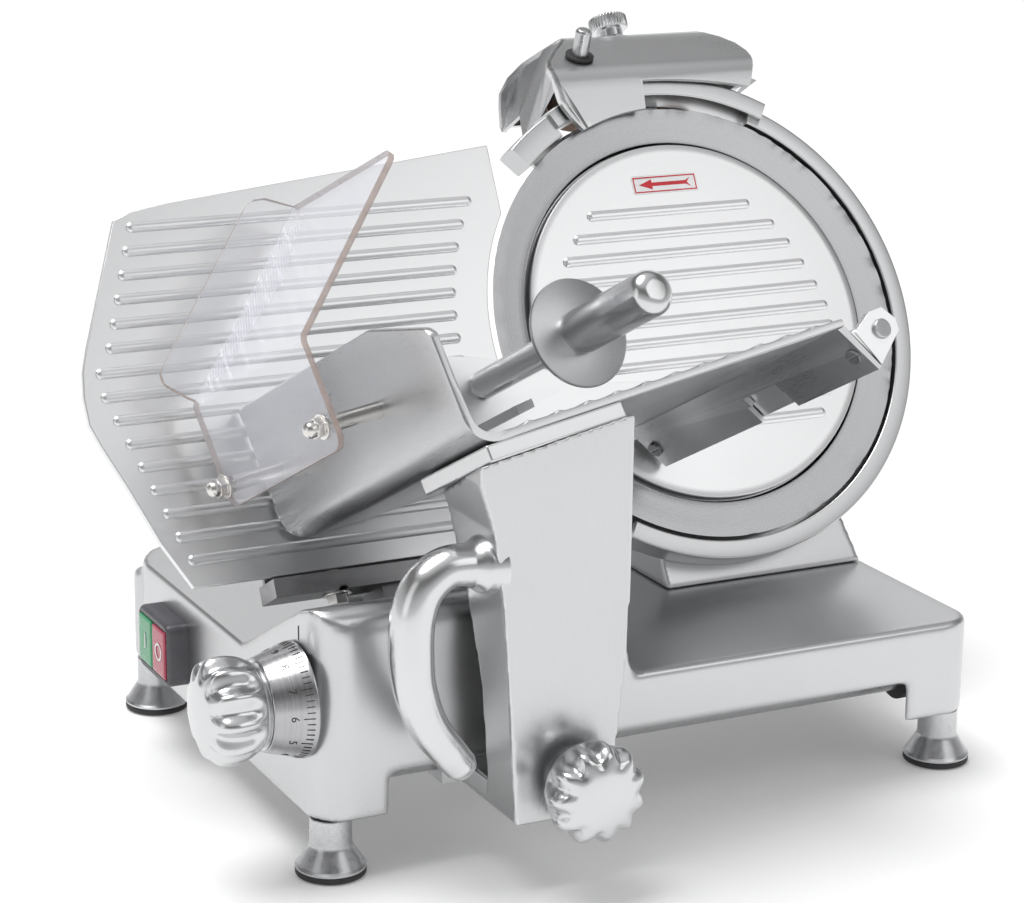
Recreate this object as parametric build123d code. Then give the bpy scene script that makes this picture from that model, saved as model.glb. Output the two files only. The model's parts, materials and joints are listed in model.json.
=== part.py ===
from build123d import *
import math
import os

# Deli meat slicer with a 300 mm tilted blade. Millimetres, +Z up.
# Origin: on the floor, midway between the four feet. +X right along the front, +Y to the back.

# ---- driving dimensions ----
footSpanX = 429.0
footSpanY = 302.0
footPadRadius = 21.3
footPadHeight = 4.0
footConeHeight = 14.0
footStemRadius = 12.7

baseHalfX = 229.5
baseHalfY = 169.0
baseWall = 5.0
legBottom = 36.0
apronBottom = 62.0
deckTop = 100.0
leftDeckTop = 110.0
blockTop = 166.0
blockRightX = -22.0
windowLeft = -183.0
windowRight = 178.0

bladeTilt = 29.0
bladeCentre = (131.0, 30.0, 264.0)
bladeRadius = 150.0
coverRadius = 123.6
ringInner = 152.5
ringOuter = 165.0

trayYaw = 8.3
trayRoll = 10.5
trayOriginU = -323.6
trayOriginV = -117.5
trayFloor = 5.0
trayWall = 5.0
trayLength = 258.0
trayFar = 7.0
trayNear = 228.0
trayWallHigh = 89.5
trayWallLow = 72.0

runClearance = 0.05

# ---- frames ----
tilt = math.radians(bladeTilt)
yaw = math.radians(trayYaw)
roll = math.radians(trayRoll)
centre = Vector(*bladeCentre)
alongX = Vector(1, 0, 0)
upBlade = Vector(0, math.sin(tilt), math.cos(tilt))
outBlade = Vector(0, -math.cos(tilt), math.sin(tilt))
feed = alongX * math.sin(yaw) + outBlade * math.cos(yaw)
trayAlong = alongX * math.cos(roll) + upBlade * math.sin(roll)
trayUp = alongX * -math.sin(roll) + upBlade * math.cos(roll)


def bladePoint(u, v, w):
    return centre + alongX * u + upBlade * v + outBlade * w


def bladeFrame(u=0.0, v=0.0, w=0.0):
    return Plane(origin=bladePoint(u, v, w), x_dir=alongX, z_dir=outBlade)


def trayPoint(f, h, w):
    across = trayOriginU + math.tan(yaw) * w
    return bladePoint(across, trayOriginV, w) + trayAlong * f + trayUp * h


def trayFrame(f, h, w):
    return Plane(origin=trayPoint(f, h, w), x_dir=trayAlong, z_dir=outBlade)


def feedFrame(f, h, w):
    return Plane(origin=trayPoint(f, h, w), x_dir=trayUp.cross(feed), z_dir=feed)


def rod(plane, radius, start, end):
    length = end - start
    body = Cylinder(radius, length, align=(Align.CENTER, Align.CENTER, Align.MIN))
    return plane * Pos(0, 0, start) * body


def tube(plane, outer, inner, start, end):
    return rod(plane, outer, start, end) - rod(plane, inner, start - 1, end + 1)


def box(x0, x1, y0, y1, z0, z1):
    return Pos((x0 + x1) / 2, (y0 + y1) / 2, (z0 + z1) / 2) * Box(x1 - x0, y1 - y0, z1 - z0)


def localBox(plane, x0, x1, y0, y1, z0, z1):
    return plane * box(x0, x1, y0, y1, z0, z1)


def prism(plane, points, start, end):
    outline = Polyline(*points, close=True)
    return plane * Pos(0, 0, start) * extrude(make_face(outline), end - start)


def turned(plane, points):
    "solid of revolution: points are (radius, height) in the plane's own axis"
    outline = Polyline(*[(r, 0, z) for r, z in points], close=True)
    return plane * revolve(make_face(outline), Axis.Z)


def obliquePrism(points, start, end):
    "prism of the tray section between two planes parallel to the blade, run along the feed"
    face = trayFrame(0, 0, start) * make_face(Polyline(*points, close=True))
    return extrude(face, (end - start) / math.cos(yaw), dir=feed)


def fluted(plane, radius, count, depth, fluteRadius, start, end):
    body = rod(plane, radius, start, end)
    reach = radius + fluteRadius - depth
    for k in range(count):
        a = 2 * math.pi * k / count
        cut = Cylinder(fluteRadius, end - start + 2, align=(Align.CENTER, Align.CENTER, Align.MIN))
        body -= plane * Pos(reach * math.cos(a), reach * math.sin(a), start - 1) * cut
    return body


parts = {}


def keep(name, shape):
    parts[name] = shape


# ---- feet ----
footXY = [(sx * footSpanX / 2, sy * footSpanY / 2) for sx in (-1, 1) for sy in (-1, 1)]


def footStem(x, y):
    coneTop = footPadHeight + footConeHeight
    outline = [(0, footPadHeight), (footPadRadius, footPadHeight), (footPadRadius, footPadHeight + 1.5),
               (footStemRadius, coneTop), (footStemRadius, legBottom), (6, legBottom), (6, legBottom + 20),
               (0, legBottom + 20)]
    return turned(Plane.XY.offset(0).shift_origin((x, y, 0)), outline)


def footPad(x, y):
    return turned(Plane.XY.shift_origin((x, y, 0)),
                  [(0, 0), (footPadRadius - 0.8, 0), (footPadRadius, 0.8), (footPadRadius, footPadHeight),
                   (0, footPadHeight)])


keep("foot_stems", Compound([footStem(x, y) for x, y in footXY]))
keep("foot_pads", Compound([footPad(x, y) for x, y in footXY]))

# ---- base ----
frontCorner = 22.0
backCorner = 45.0
guideRodAt = (-240.0, -165.0)
guideRodRadius = 8.0
gaugeSlot = (-137.0, -83.0, -86.0, 22.0)
towerWell = (84.0, 216.0, -24.0, 112.0)
slideRodY = -122.0
slideRodZ = 52.0
slideRodRadius = 11.0
guideBarY = -88.0
dialY = -140.0
dialZ = 107.0
dialShaftRadius = 6.0


def roundedSlab(inset, z0, z1):
    slab = box(-baseHalfX + inset, baseHalfX - inset, -baseHalfY + inset, baseHalfY - inset, z0, z1)
    upright = slab.edges().filter_by(Axis.Z)
    slab = fillet(upright.sort_by(Axis.Y)[:2], frontCorner - inset)
    upright = slab.edges().filter_by(Axis.Z)
    return fillet(upright.sort_by(Axis.Y)[-2:], backCorner - inset)


def raisedBlock(inset):
    "front-left housing: sloping back to the deck, rounded down to the right"
    front = -baseHalfY + inset
    top = blockTop - inset
    side = [(front, apronBottom), (front, top - 14), (front + 5, top - 4), (front + 14, top),
            (front + 30, top - 5), (-46 - inset, leftDeckTop - inset), (-30, leftDeckTop - inset - 6),
            (-30, apronBottom)]
    right = blockRightX - inset
    body = prism(Plane.YZ, side, -baseHalfX + inset, right)
    ramp = [(-baseHalfX + inset, apronBottom), (-baseHalfX + inset, top + 5), (right - 52, top + 5),
            (right - 34, top - 5), (right - 18, top - 20), (right - 6, top - 42), (right, deckTop - inset - 4),
            (right, apronBottom)]
    mask = prism(Plane.XZ, ramp, -0.0, baseHalfY - inset)
    corner = roundedSlab(inset, apronBottom, blockTop + 5)
    return body & mask & corner


plateScrewXY = [(side * 200.0, y) for side in (-1, 1) for y in (-46.0, 116.0)]


def plateLug(x, y):
    side = math.copysign(1, x)
    outer = side * (baseHalfX - 1)
    lug = box(min(x - side * 8, outer), max(x - side * 8, outer), y - 8, y + 8, apronBottom - 3, apronBottom + 9)
    return lug - rod(Plane.XY.shift_origin((x, y, 0)), 2.0, 50, 80)


def baseCasting():
    outer = roundedSlab(0, legBottom, deckTop)
    leftPart = roundedSlab(0, legBottom, leftDeckTop) & box(-baseHalfX, -10, -60, baseHalfY, 0, 200)
    body = outer + leftPart + raisedBlock(0)
    inner = roundedSlab(baseWall, 0, deckTop - baseWall)
    innerLeft = roundedSlab(baseWall, 0, leftDeckTop - baseWall) & box(-baseHalfX, -15, -50, baseHalfY, 0, 200)
    body -= inner + innerLeft + raisedBlock(baseWall)
    body -= box(windowLeft, windowRight, -baseHalfY - 1, -baseHalfY + 20, 0, apronBottom)
    body -= box(windowLeft, windowRight, baseHalfY - 20, baseHalfY + 1, 0, apronBottom)
    for x, y in footXY:
        body += rod(Plane.XY.shift_origin((x, y, 0)), 14.0, legBottom, deckTop - 2)
        body -= rod(Plane.XY.shift_origin((x, y, 0)), 6.0, legBottom - 1, legBottom + 20)
    for x, y in plateScrewXY:
        body += plateLug(x, y)
    body -= box(gaugeSlot[0], gaugeSlot[1], gaugeSlot[2], gaugeSlot[3], 92, 190)
    socket = localBox(bladeFrame(), -272, -208, -186, -150, -64, -56)
    body += socket - rod(bladeFrame(*guideRodAt), guideRodRadius, -80, 40)
    body -= box(towerWell[0], towerWell[1], towerWell[2], towerWell[3], 90, 110)
    body -= rod(Plane.YZ.shift_origin((0, dialY, dialZ)), dialShaftRadius + runClearance, -260, -200)
    return body


keep("base_casting", baseCasting())


def dialFrame(x=0.0):
    "looks out of the left side: local z runs to -X"
    return Plane(origin=(x, dialY, dialZ), x_dir=(0, 1, 0), z_dir=(-1, 0, 0))



# ---- base fittings ----
def bottomPlate():
    plate = box(-212, 212, -56, 158, apronBottom - 6, apronBottom - 3)
    for side in (-1, 1):
        corner = side * 212
        plate -= box(min(corner, corner - side * 34), max(corner, corner - side * 34), 130, 160, 50, 70)
    for x, y in plateScrewXY:
        plate -= rod(Plane.XY.shift_origin((x, y, 0)), 2.2, 50, 70)
    return plate


def screwUp(x, y, z, head, shank, length):
    "pan-head screw driven upwards, head under z"
    frame = Plane.XY.shift_origin((x, y, 0))
    return rod(frame, head, z - 2.5, z) + rod(frame, shank, z, z + length)


keep("bottom_plate", bottomPlate())

slideFrame = Plane(origin=(0, slideRodY, slideRodZ), x_dir=(0, 1, 0), z_dir=(1, 0, 0))
rodEnd = baseHalfX - baseWall
keep("slide_rod", rod(slideFrame, slideRodRadius, -rodEnd, rodEnd))
keep("guide_bar", box(-rodEnd, rodEnd, guideBarY - 8, guideBarY + 8, slideRodZ - 8, slideRodZ + 8))


def rodSupport(side):
    inner = baseHalfX - baseWall - 18
    block = box(min(side * inner, side * rodEnd), max(side * inner, side * rodEnd), -136, -76, 38, 68)
    return block - rod(slideFrame, slideRodRadius, -300, 300) - box(-300, 300, guideBarY - 8, guideBarY + 8,
                                                                    slideRodZ - 8, slideRodZ + 8)


keep("rod_supports", Compound([rodSupport(-1), rodSupport(1)]))
keep("rod_bumpers", Compound([tube(slideFrame, 17, slideRodRadius, s * 202.25 - 4.25, s * 202.25 + 4.25)
                              for s in (-1, 1)]))

# ---- switch box, left wall near the back ----
switchY = 74.0
switchZ = 72.0
switchHalf = (28.0, 21.0)
switchDepth = 14.0
buttonHalf = (12.0, 16.0)


def switchBox():
    x0 = -baseHalfX - switchDepth
    body = box(x0, -baseHalfX, switchY - switchHalf[0], switchY + switchHalf[0], switchZ - switchHalf[1],
               switchZ + switchHalf[1])
    body = fillet(body.edges().filter_by(Axis.X), 7)
    for side in (-1, 1):
        y = switchY + side * 12.6
        body -= box(x0 - 1, x0 + 8, y - buttonHalf[0], y + buttonHalf[0], switchZ - buttonHalf[1],
                    switchZ + buttonHalf[1])
    return body


def button(side):
    x0 = -baseHalfX - switchDepth
    y = switchY + side * 12.6
    gap = 0.35
    return box(x0 - 1.2, x0 + 4.2, y - buttonHalf[0] + gap, y + buttonHalf[0] - gap, switchZ - buttonHalf[1] + gap,
               switchZ + buttonHalf[1] - gap)


keep("switch_box", switchBox())
keep("start_button", button(1))
keep("stop_button", button(-1))
glandFrame = Plane(origin=(150, baseHalfY, 78), x_dir=(1, 0, 0), z_dir=(0, 1, 0))
keep("cable_gland", rod(glandFrame, 11, 0, 5) + tube(glandFrame, 8, 4.2, 5, 20))

# ---- knife tower ----
ringBack = -20.0
ringFront = 1.0
towerTop = 300.0


def towerFront(z, gap=-ringBack):
    "y of the tower's front face at height z: a plane parallel to the blade"
    return bladeCentre[1] + (gap + (z - bladeCentre[2]) * math.sin(tilt)) / math.cos(tilt)


def towerShell(inset):
    low = deckTop - inset * 2
    high = towerTop - inset
    back = 126.0 - inset
    lower = Plane.XY.offset(low) * Pos(150, (towerFront(low) + inset + back) / 2) * Rectangle(
        152 - 2 * inset, back - towerFront(low) - inset)
    upper = Plane.XY.offset(high) * Pos(131, (towerFront(high) + inset + back) / 2) * Rectangle(
        96 - 2 * inset, back - towerFront(high) - inset)
    return loft([lower.face(), upper.face()])


def knifeTower():
    body = towerShell(0) - towerShell(5.5)
    body -= box(40, 260, 60, 140, 0, deckTop)
    body &= box(0, 300, -100, 200, deckTop, 400)
    body -= box(88, 192, 118, 140, 112, 280)
    body += rod(bladeFrame(), 38, -52, -20)
    body -= rod(bladeFrame(), 27.5, -60, 10)
    return body


keep("knife_tower", knifeTower())


def rearCover():
    cover = box(78, 202, 126, 130, 104, 292)
    cover = fillet(cover.edges().filter_by(Axis.Y), 12)
    for k in range(7):
        z = 130 + k * 11
        cover -= box(105, 175, 120, 135, z, z + 5)
    for x, z in rearScrewXZ:
        cover -= rod(Plane(origin=(x, 120, z), x_dir=(1, 0, 0), z_dir=(0, 1, 0)), 2.2, 0, 20)
    return cover - rod(bladeFrame(), 9, -160, -60)


rearScrewXZ = [(86, 112), (194, 112), (94, 284), (168, 284)]
keep("rear_cover", rearCover())


def rearScrew(x, z):
    head = rod(Plane(origin=(x, 130, z), x_dir=(1, 0, 0), z_dir=(0, 1, 0)), 4.4, 0, 2.6)
    return head + rod(Plane(origin=(x, 130, z), x_dir=(1, 0, 0), z_dir=(0, -1, 0)), 2.2, 0, 4)


keep("cover_screws", Compound([screwUp(x, y, apronBottom - 6, 4.5, 2.0, 8) for x, y in plateScrewXY]
                              + [rearScrew(x, z) for x, z in rearScrewXZ]))

# ---- ring guard ----
archStart = 62.0
archEnd = 118.0
ringStart = -121.0
ringEnd = 131.0
archInner = 158.5
archOuter = 171.5


def sector(inner, outer, a0, a1, z0, z1):
    "part of a ring between two angles, counted from +u towards +v"
    span = a1 - a0
    outline = make_face(Polyline((inner, 0, z0), (outer, 0, z0), (outer, 0, z1), (inner, 0, z1), close=True))
    return bladeFrame() * Rot(0, 0, a0) * revolve(outline, Axis.Z, span)


def ringGuard():
    body = sector(ringInner, ringOuter, ringStart, archStart, ringBack, ringFront)
    body += sector(archInner, archOuter, archStart - 3, archEnd, ringBack, ringFront + 3)
    body += sector(ringInner, ringOuter + 5, archEnd, ringEnd, ringBack, ringFront)
    body += sector(ringInner, archOuter, archStart - 3, archStart, ringBack, ringFront)
    dish = rod(bladeFrame(), ringInner + 1, ringBack, ringBack + 3.5) - rod(bladeFrame(), 39, -30, 0)
    dish -= localBox(bladeFrame(), -200, -128, -200, 200, -40, 20)
    return body + dish


keep("ring_guard", ringGuard())

# ---- blade, hub and drive ----
blade = turned(bladeFrame(), [(20, -12), (112, -12), (118, -9), (146, -2.2), (bladeRadius, 0), (126, -2.6),
                              (124.6, -6), (20, -6)])
bladeScrewCircle = 34.0


def hubWithShaft():
    profile = [(5.2, -7), (19.95, -7), (19.95, -12), (44, -12), (44, -16.2), (15, -16.2), (15, -88), (5.2, -88)]
    body = turned(bladeFrame(), profile)
    for x, y in ringOf(bladeScrewCircle, 4, 45):
        body -= rod(bladeFrame(x, y), 2.5, -17, -5)
    return body


def ringOf(radius, count, start=0.0):
    angles = [math.radians(start + 360 * k / count) for k in range(count)]
    return [(radius * math.cos(a), radius * math.sin(a)) for a in angles]


def drilledBlade():
    body = blade
    for x, y in ringOf(bladeScrewCircle, 4, 45):
        body -= rod(bladeFrame(x, y), 2.8, -20, 0)
    return body


keep("blade", drilledBlade())
keep("blade_hub", hubWithShaft())
keep("blade_screws", Compound([rod(bladeFrame(x, y), 4.2, -6, -3.6) + rod(bladeFrame(x, y), 2.5, -16, -6)
                               for x, y in ringOf(bladeScrewCircle, 4, 45)]))
bearingInner = 15.0 + runClearance
bearingSpans = [(-34, -21), (-52, -39)]
keep("bearings", Compound([tube(bladeFrame(), 27.5, bearingInner, a, b) for a, b in bearingSpans]
                          + [tube(bladeFrame(), 27.5, 24, -38.9, -34.1)]))

pulleyFront = -58.0
pulleyBack = -74.0
bladePulleyRadius = 40.0
motorPulleyRadius = 18.0
motorU = 14.0
motorV = -112.0


def pulley(frame, radius, bore):
    body = tube(frame, radius + 2, bore, pulleyBack, pulleyFront)
    return body - tube(frame, radius + 4, radius, pulleyBack + 2, pulleyFront - 2)


keep("blade_pulley", pulley(bladeFrame(), bladePulleyRadius, 15.0))
motorFrame = bladeFrame(motorU, motorV)
keep("motor_pulley", pulley(motorFrame, motorPulleyRadius, 7.0))
keep("motor_shaft", rod(motorFrame, 7.0, pulleyBack - 2, -29) + rod(motorFrame, 20.0, -48, -32))


def motorBody():
    body = rod(motorFrame, 41, -55, -27) - rod(motorFrame, 20.6, -49, -31) - rod(motorFrame, 7.06, -60, -20)
    return body


keep("motor_body", motorBody())


def driveBelt():
    "flat ribbed belt round both pulleys, held a hair clear of the grooves"
    gap = math.hypot(motorU, motorV)
    lean = math.asin((bladePulleyRadius - motorPulleyRadius) / gap)
    clear = 0.3
    thick = 1.6
    outerLoop = beltOutline(clear + thick, gap, lean)
    innerLoop = beltOutline(clear, gap, lean)
    turn = math.degrees(math.atan2(motorV, motorU))
    frame = bladeFrame() * Rot(0, 0, turn) * Pos(0, 0, pulleyBack + 3)
    return frame * extrude(outerLoop - innerLoop, pulleyFront - pulleyBack - 6)


def beltOutline(extra, gap, lean):
    big = bladePulleyRadius + extra
    small = motorPulleyRadius + extra
    cos, sin = math.cos(lean), math.sin(lean)
    a = (big * sin, big * cos)
    b = (gap + small * sin, small * cos)
    c = (gap + small * sin, -small * cos)
    d = (big * sin, -big * cos)
    edges = [Line(a, b), ThreePointArc(b, (gap + small, 0), c), Line(c, d), ThreePointArc(d, (-big, 0), a)]
    return make_face(Curve() + edges)


keep("drive_belt", driveBelt())

# ---- blade cover and its tie rod ----
coverBack = -3.4
coverFront = 1.2
ribHeight = 1.3
coverRibs = [(-67, 58.6, 77), (-81, 74.5, 61.5), (-92, 83.4, 47), (-100, 90.9, 31.5), (-105, 97.2, 15.5),
             (-106, 101.5, 0.5), (-106, 102.6, -13.5), (-104, 100, -29), (-101, 96, -44), (-96, 90, -59),
             (-86, 80, -74)]


def slotRib(frame, u0, u1, v, width, z0, z1):
    bar = localBox(frame, u0 + width / 2, u1 - width / 2, v - width / 2, v + width / 2, z0, z1)
    for u in (u0 + width / 2, u1 - width / 2):
        bar += frame * Pos(u, v, z0) * Cylinder(width / 2, z1 - z0, align=(Align.CENTER, Align.CENTER, Align.MIN))
    return bar


def bladeCover():
    body = rod(bladeFrame(), coverRadius, coverBack, coverFront)
    for u0, u1, v in coverRibs:
        body += slotRib(bladeFrame(), u0, u1, v, 5.0, coverFront - 0.5, coverFront + ribHeight)
    body += rod(bladeFrame(), 12, -6.6, coverBack)
    return body - rod(bladeFrame(), 3.0, -8, -2.5)


keep("blade_cover", bladeCover())
keep("cover_tie_knob", fluted(bladeFrame(), 20, 8, 2.5, 5, -158, -142) + rod(bladeFrame(), 3.0, -143, -2.5))

# ---- gauge ----
gaugeOutline = [(-392.7, 100.7), (-380.9, 105.2), (-355.3, 109.3), (-265.5, 118.5), (-127.8, 132.6),
                (-127.8, -134.0), (-385.5, -134.8), (-401.1, -104.9), (-414.7, -69.7), (-426.5, -42.3),
                (-431.8, -27.4), (-432.1, -9.7), (-429.7, 6.5), (-424.6, 21.2)]
gaugeThick = 5.0
gaugeRibPitch = 15.2
gaugeRibTop = 95.0
gaugeRibCount = 15
gaugeReach = 176.0


def gaugeLeft(v):
    "u of the plate's left edge at height v, set in by the end margin"
    if v > 10:
        return -424 + (v - 10) * 0.36 + 8
    return -430 + max(0.0, -v - 10) * 0.33 + 8


def gaugePlate():
    body = prism(bladeFrame(), gaugeOutline, -gaugeThick, 0)
    body -= rod(bladeFrame(), bladeRadius + 3.5, -30, 30)
    body -= localBox(bladeFrame(), -128, 0, -200, 200, -30, 30)
    for k in range(gaugeRibCount):
        v = gaugeRibTop - gaugeRibPitch * k
        end = -math.sqrt(gaugeReach ** 2 - v ** 2) if abs(v) < gaugeReach else -150
        body += slotRib(bladeFrame(), gaugeLeft(v), end, v, 5.0, -0.4, ribHeight)
    body += localBox(bladeFrame(), -340, -190, -131, -121, -14, -gaugeThick)
    return body


keep("gauge_plate", gaugePlate())
bracketTop = -133.5


def gaugeBracket():
    web = localBox(bladeFrame(), -335, -196, -148, -136, -26, 1.5)
    web -= localBox(bladeFrame(), -332, -199, -145, -130, -23, -5.4)
    tie = localBox(bladeFrame(), -335, -196, -148, -122, -18, -14.1)
    block = localBox(bladeFrame(), -262, -218, -178, -148, -40, -6)
    bore = rod(bladeFrame(*guideRodAt), guideRodRadius + runClearance, -80, 40)
    return web + tie + block - bore - rod(bladeFrame(-290, -150), 4.2, -60, 20)


keep("gauge_bracket", gaugeBracket() - rod(Plane(origin=bladePoint(-290, -160, -12), x_dir=(1, 0, 0),
                                                      z_dir=upBlade), 4.0, -10, 40))
boltFrame = Plane(origin=bladePoint(-290, -148, -12), x_dir=(1, 0, 0), z_dir=upBlade * -1)


def gaugeBolt():
    washer = tube(boltFrame, 9.5, 4.1, 0, 1.6)
    head = boltFrame * Pos(0, 0, 1.6) * extrude(RegularPolygon(7.2, 6), 6)
    return washer, head + rod(boltFrame, 4.0, -14, 1.6)


keep("gauge_bolt", Compound(list(gaugeBolt())))


keep("gauge_guide_rod", rod(bladeFrame(*guideRodAt), guideRodRadius, -64, 14))

# ---- thickness dial ----
keep("thickness_dial", turned(dialFrame(-baseHalfX), [(dialShaftRadius, 0.6), (34.5, 0.6), (34.5, 3), (27.5, 26),
                                                     (dialShaftRadius, 26)]))


def thicknessKnob():
    frame = dialFrame(-baseHalfX)
    body = fluted(frame, 32, 12, 3.2, 7.5, 26, 58)
    dome = turned(frame, [(0, 58), (27, 58), (24, 60.5), (14, 62.6), (0, 63.2)])
    return body + dome - rod(frame, dialShaftRadius, 20, 50)


keep("thickness_knob", thicknessKnob())
keep("thickness_shaft", rod(dialFrame(-baseHalfX), dialShaftRadius, -70, 50) + rod(dialFrame(-baseHalfX), 22, -70, -62))

# ---- carriage arm ----
armFront = -228.0
armDeep = 66.0
armCap = 10.0
carrierX = (-137.0, -61.0)
carrierY = (-140.0, -76.0)
carrierZ = (38.0, 68.0)
armOutline = [(-156, 250), (-147.6, 222), (-141, 178), (-136.5, 120), (-134, 80), (-131.5, 43.5), (-95, 43.5),
              (-78, 50), (-69, 66), (-66.6, 84), (-61, 140), (-59.6, 180), (-59.6, 320), (-156, 320)]
knobX = -92.6
knobZ = 67.0
studRadius = 5.0


def underTray(drop):
    "a large block above the plane that lies this far under the tray floor"
    return obliquePrism([(-200, -drop), (400, -drop), (400, 300), (-200, 300)], -200, 420)


def carriageArm():
    body = prism(Plane.XZ, armOutline, -armFront - armDeep, -armFront)
    body -= underTray(armCap)
    slant = [(armFront + 36, 40), (armFront + 38, 120), (armFront + 66, 236), (armFront + 120, 236),
             (armFront + 120, 0), (armFront + 36, 0)]
    body -= prism(Plane.YZ, slant, -200, 0)
    body += box(-131, -72, armFront + 30, carrierY[0], 43.5, 59)
    return body - rod(armKnobFrame(), studRadius, -200, 10)


def armKnobFrame():
    return Plane(origin=(knobX, armFront, knobZ), x_dir=(1, 0, 0), z_dir=(0, -1, 0))


def carrierBlock():
    body = box(*carrierX, *carrierY, *carrierZ)
    body -= rod(slideFrame, slideRodRadius + runClearance, -300, 300)
    gap = 8.3
    body -= box(-300, 300, guideBarY - gap, guideBarY + gap, slideRodZ - gap, slideRodZ + gap)
    return body


keep("carriage_arm", carriageArm())
keep("arm_cap", obliquePrism([(6, -armCap), (97, -armCap), (97, 0), (6, 0)], 156, 229))
keep("carrier_block", carrierBlock())


def armKnob():
    frame = armKnobFrame()
    body = rod(frame, 17, 0.6, 8) + fluted(frame, 29, 12, 3.4, 7.5, 8, 34)
    body += turned(frame, [(0, 34), (24, 34), (20, 36), (12, 37.6), (0, 38.2)])
    return body + rod(frame, studRadius - runClearance, -34, 2)


keep("arm_knob", armKnob())

# ---- hand grip on the arm's left side ----
gripY = -210.0
gripRadius = 13.0


def handGrip():
    route = [(-143, gripY, 199), (-190, gripY, 197), (-187, gripY, 120), (-160, gripY, 82)]
    path = FilletPolyline(*route, radius=26)
    ring = Plane(origin=route[0], z_dir=(-1, 0, 0)) * Circle(gripRadius)
    bar = sweep(ring, path)
    bar += Pos(*route[-1]) * Sphere(gripRadius)
    flange = rod(Plane(origin=(-146, gripY, 199), x_dir=(0, 1, 0), z_dir=(-1, 0, 0)), 20, -8, 6)
    return bar + flange - carriageArm()


keep("hand_grip", handGrip())

# ---- meat tray ----
endPlateSlope = [(255.4, -6.5), (268.6, -30.8)]
lugPin = (280.4, -8.4)
guideRadius = 6.0
floorRibPitch = 20.0


def trayBody():
    outer = [(258, 0), (258, trayFloor), (22, trayFloor), (12, 8), (trayWall, 18), (trayWall, trayWallHigh),
             (0, trayWallHigh), (0, 18), (3, 9), (9, 3), (18, 0)]
    body = obliquePrism(outer, trayFar, trayNear)
    for k in range(11):
        f = 38 + floorRibPitch * k
        rib = [(f - 3, trayFloor - 0.5), (f - 1.5, trayFloor + 1.2), (f + 1.5, trayFloor + 1.2), (f + 3, trayFloor - 0.5)]
        body += obliquePrism(rib, trayFar, trayNear)
    corner = [(171, trayWallHigh), (trayNear + 5, trayWallLow - 1.6), (trayNear + 5, 130), (171, 130)]
    cutter = Plane(origin=trayPoint(-20, 0, 0), x_dir=feed, z_dir=trayUp.cross(feed))
    wedge = make_face(Polyline(*[(w / math.cos(yaw), h) for w, h in corner], close=True))
    body -= extrude(cutter * wedge, 60, both=True)
    return body


def endFlange():
    "skirt that hangs under the tray's right end, with the hooked notch"
    (f0, h0), (f1, h1) = endPlateSlope
    skirt = [(252, -0.4), (258, -0.4), (f0 + 4.2, h0 + 1.4), (f1 + 2.6, h1 + 1.4), (f1, h1), (f0, h0)]
    body = obliquePrism(skirt, trayFar, trayNear)
    for w0, w1, depth in ((113, 150, 8), (117, 149, 15)):
        body -= obliquePrism([(f1 - depth * 0.48 - 6, h1 + depth * 0.88 + 3), (f1 + 8, h1 + depth * 0.88 + 10),
                              (f1 + 12, h1 - 8), (f1 - 8, h1 - 8)], w0, w1)
    for w in trayScrewW:
        body -= rod(trayScrewFrame(w), 2.5, -20, 20)
    return body


trayScrewW = (14.0, 221.0)


def trayScrewFrame(w):
    "at the inner face of the skirt, looking inwards under the tray"
    (f0, h0), (f1, h1) = endPlateSlope
    slope = trayAlong * (f1 - f0) + trayUp * (h1 - h0)
    inward = slope.cross(feed).normalized()
    return Plane(origin=trayPoint(261.6, -17.9, w), x_dir=feed, z_dir=inward)


keep("meat_tray", trayBody())
keep("tray_skirt", endFlange())


def traySkirtScrews():
    screws = []
    for w in trayScrewW:
        frame = trayScrewFrame(w)
        head = rod(frame, 5.0, 0.1, 2.2) - localBox(frame, -6, 6, -0.7, 0.7, 1.2, 4)
        screws.append(head + rod(frame, 2.5, -8, 0.1))
    return Compound(screws)


keep("skirt_screws", traySkirtScrews())


def rodLug(w0, w1):
    corners = [(262.2, -5.2), (276.7, 3.6), (286.1, 4.1), (292.6, -5), (291.8, -12.3), (271.2, -28.6)]
    lug = obliquePrism(corners, w0, w1)
    return lug - rod(feedFrame(*lugPin, 0), guideRadius, -20, 300)


def rodBracket():
    strip = obliquePrism([(259.9, -4.9), (263.4, -3.2), (274.9, -25.6), (271.4, -27.4)], trayFar, trayNear)
    body = strip + rodLug(trayFar, trayFar + 5) + rodLug(trayNear - 4, trayNear + 1)
    for w in trayScrewW:
        body -= rod(trayScrewFrame(w), 2.5, -20, 20)
    return body


keep("rod_bracket", rodBracket())
keep("pusher_guide_rod", rod(feedFrame(*lugPin, 0), guideRadius, trayFar / math.cos(yaw), 233.5))

# ---- clear hand guard ----
guardF = -35.0
guardThick = 4.0
guardW = (29.0, 168.0)
foldH = 95.5
lobeLong = 150.0
lobeShort = 122.0
lobeLean = math.radians(42.5)
flapWidth = 33.0


def lobePoint(s, lift=0.0):
    return (guardF + s * math.cos(lobeLean) - lift * math.sin(lobeLean),
            foldH + s * math.sin(lobeLean) + lift * math.cos(lobeLean))


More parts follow.
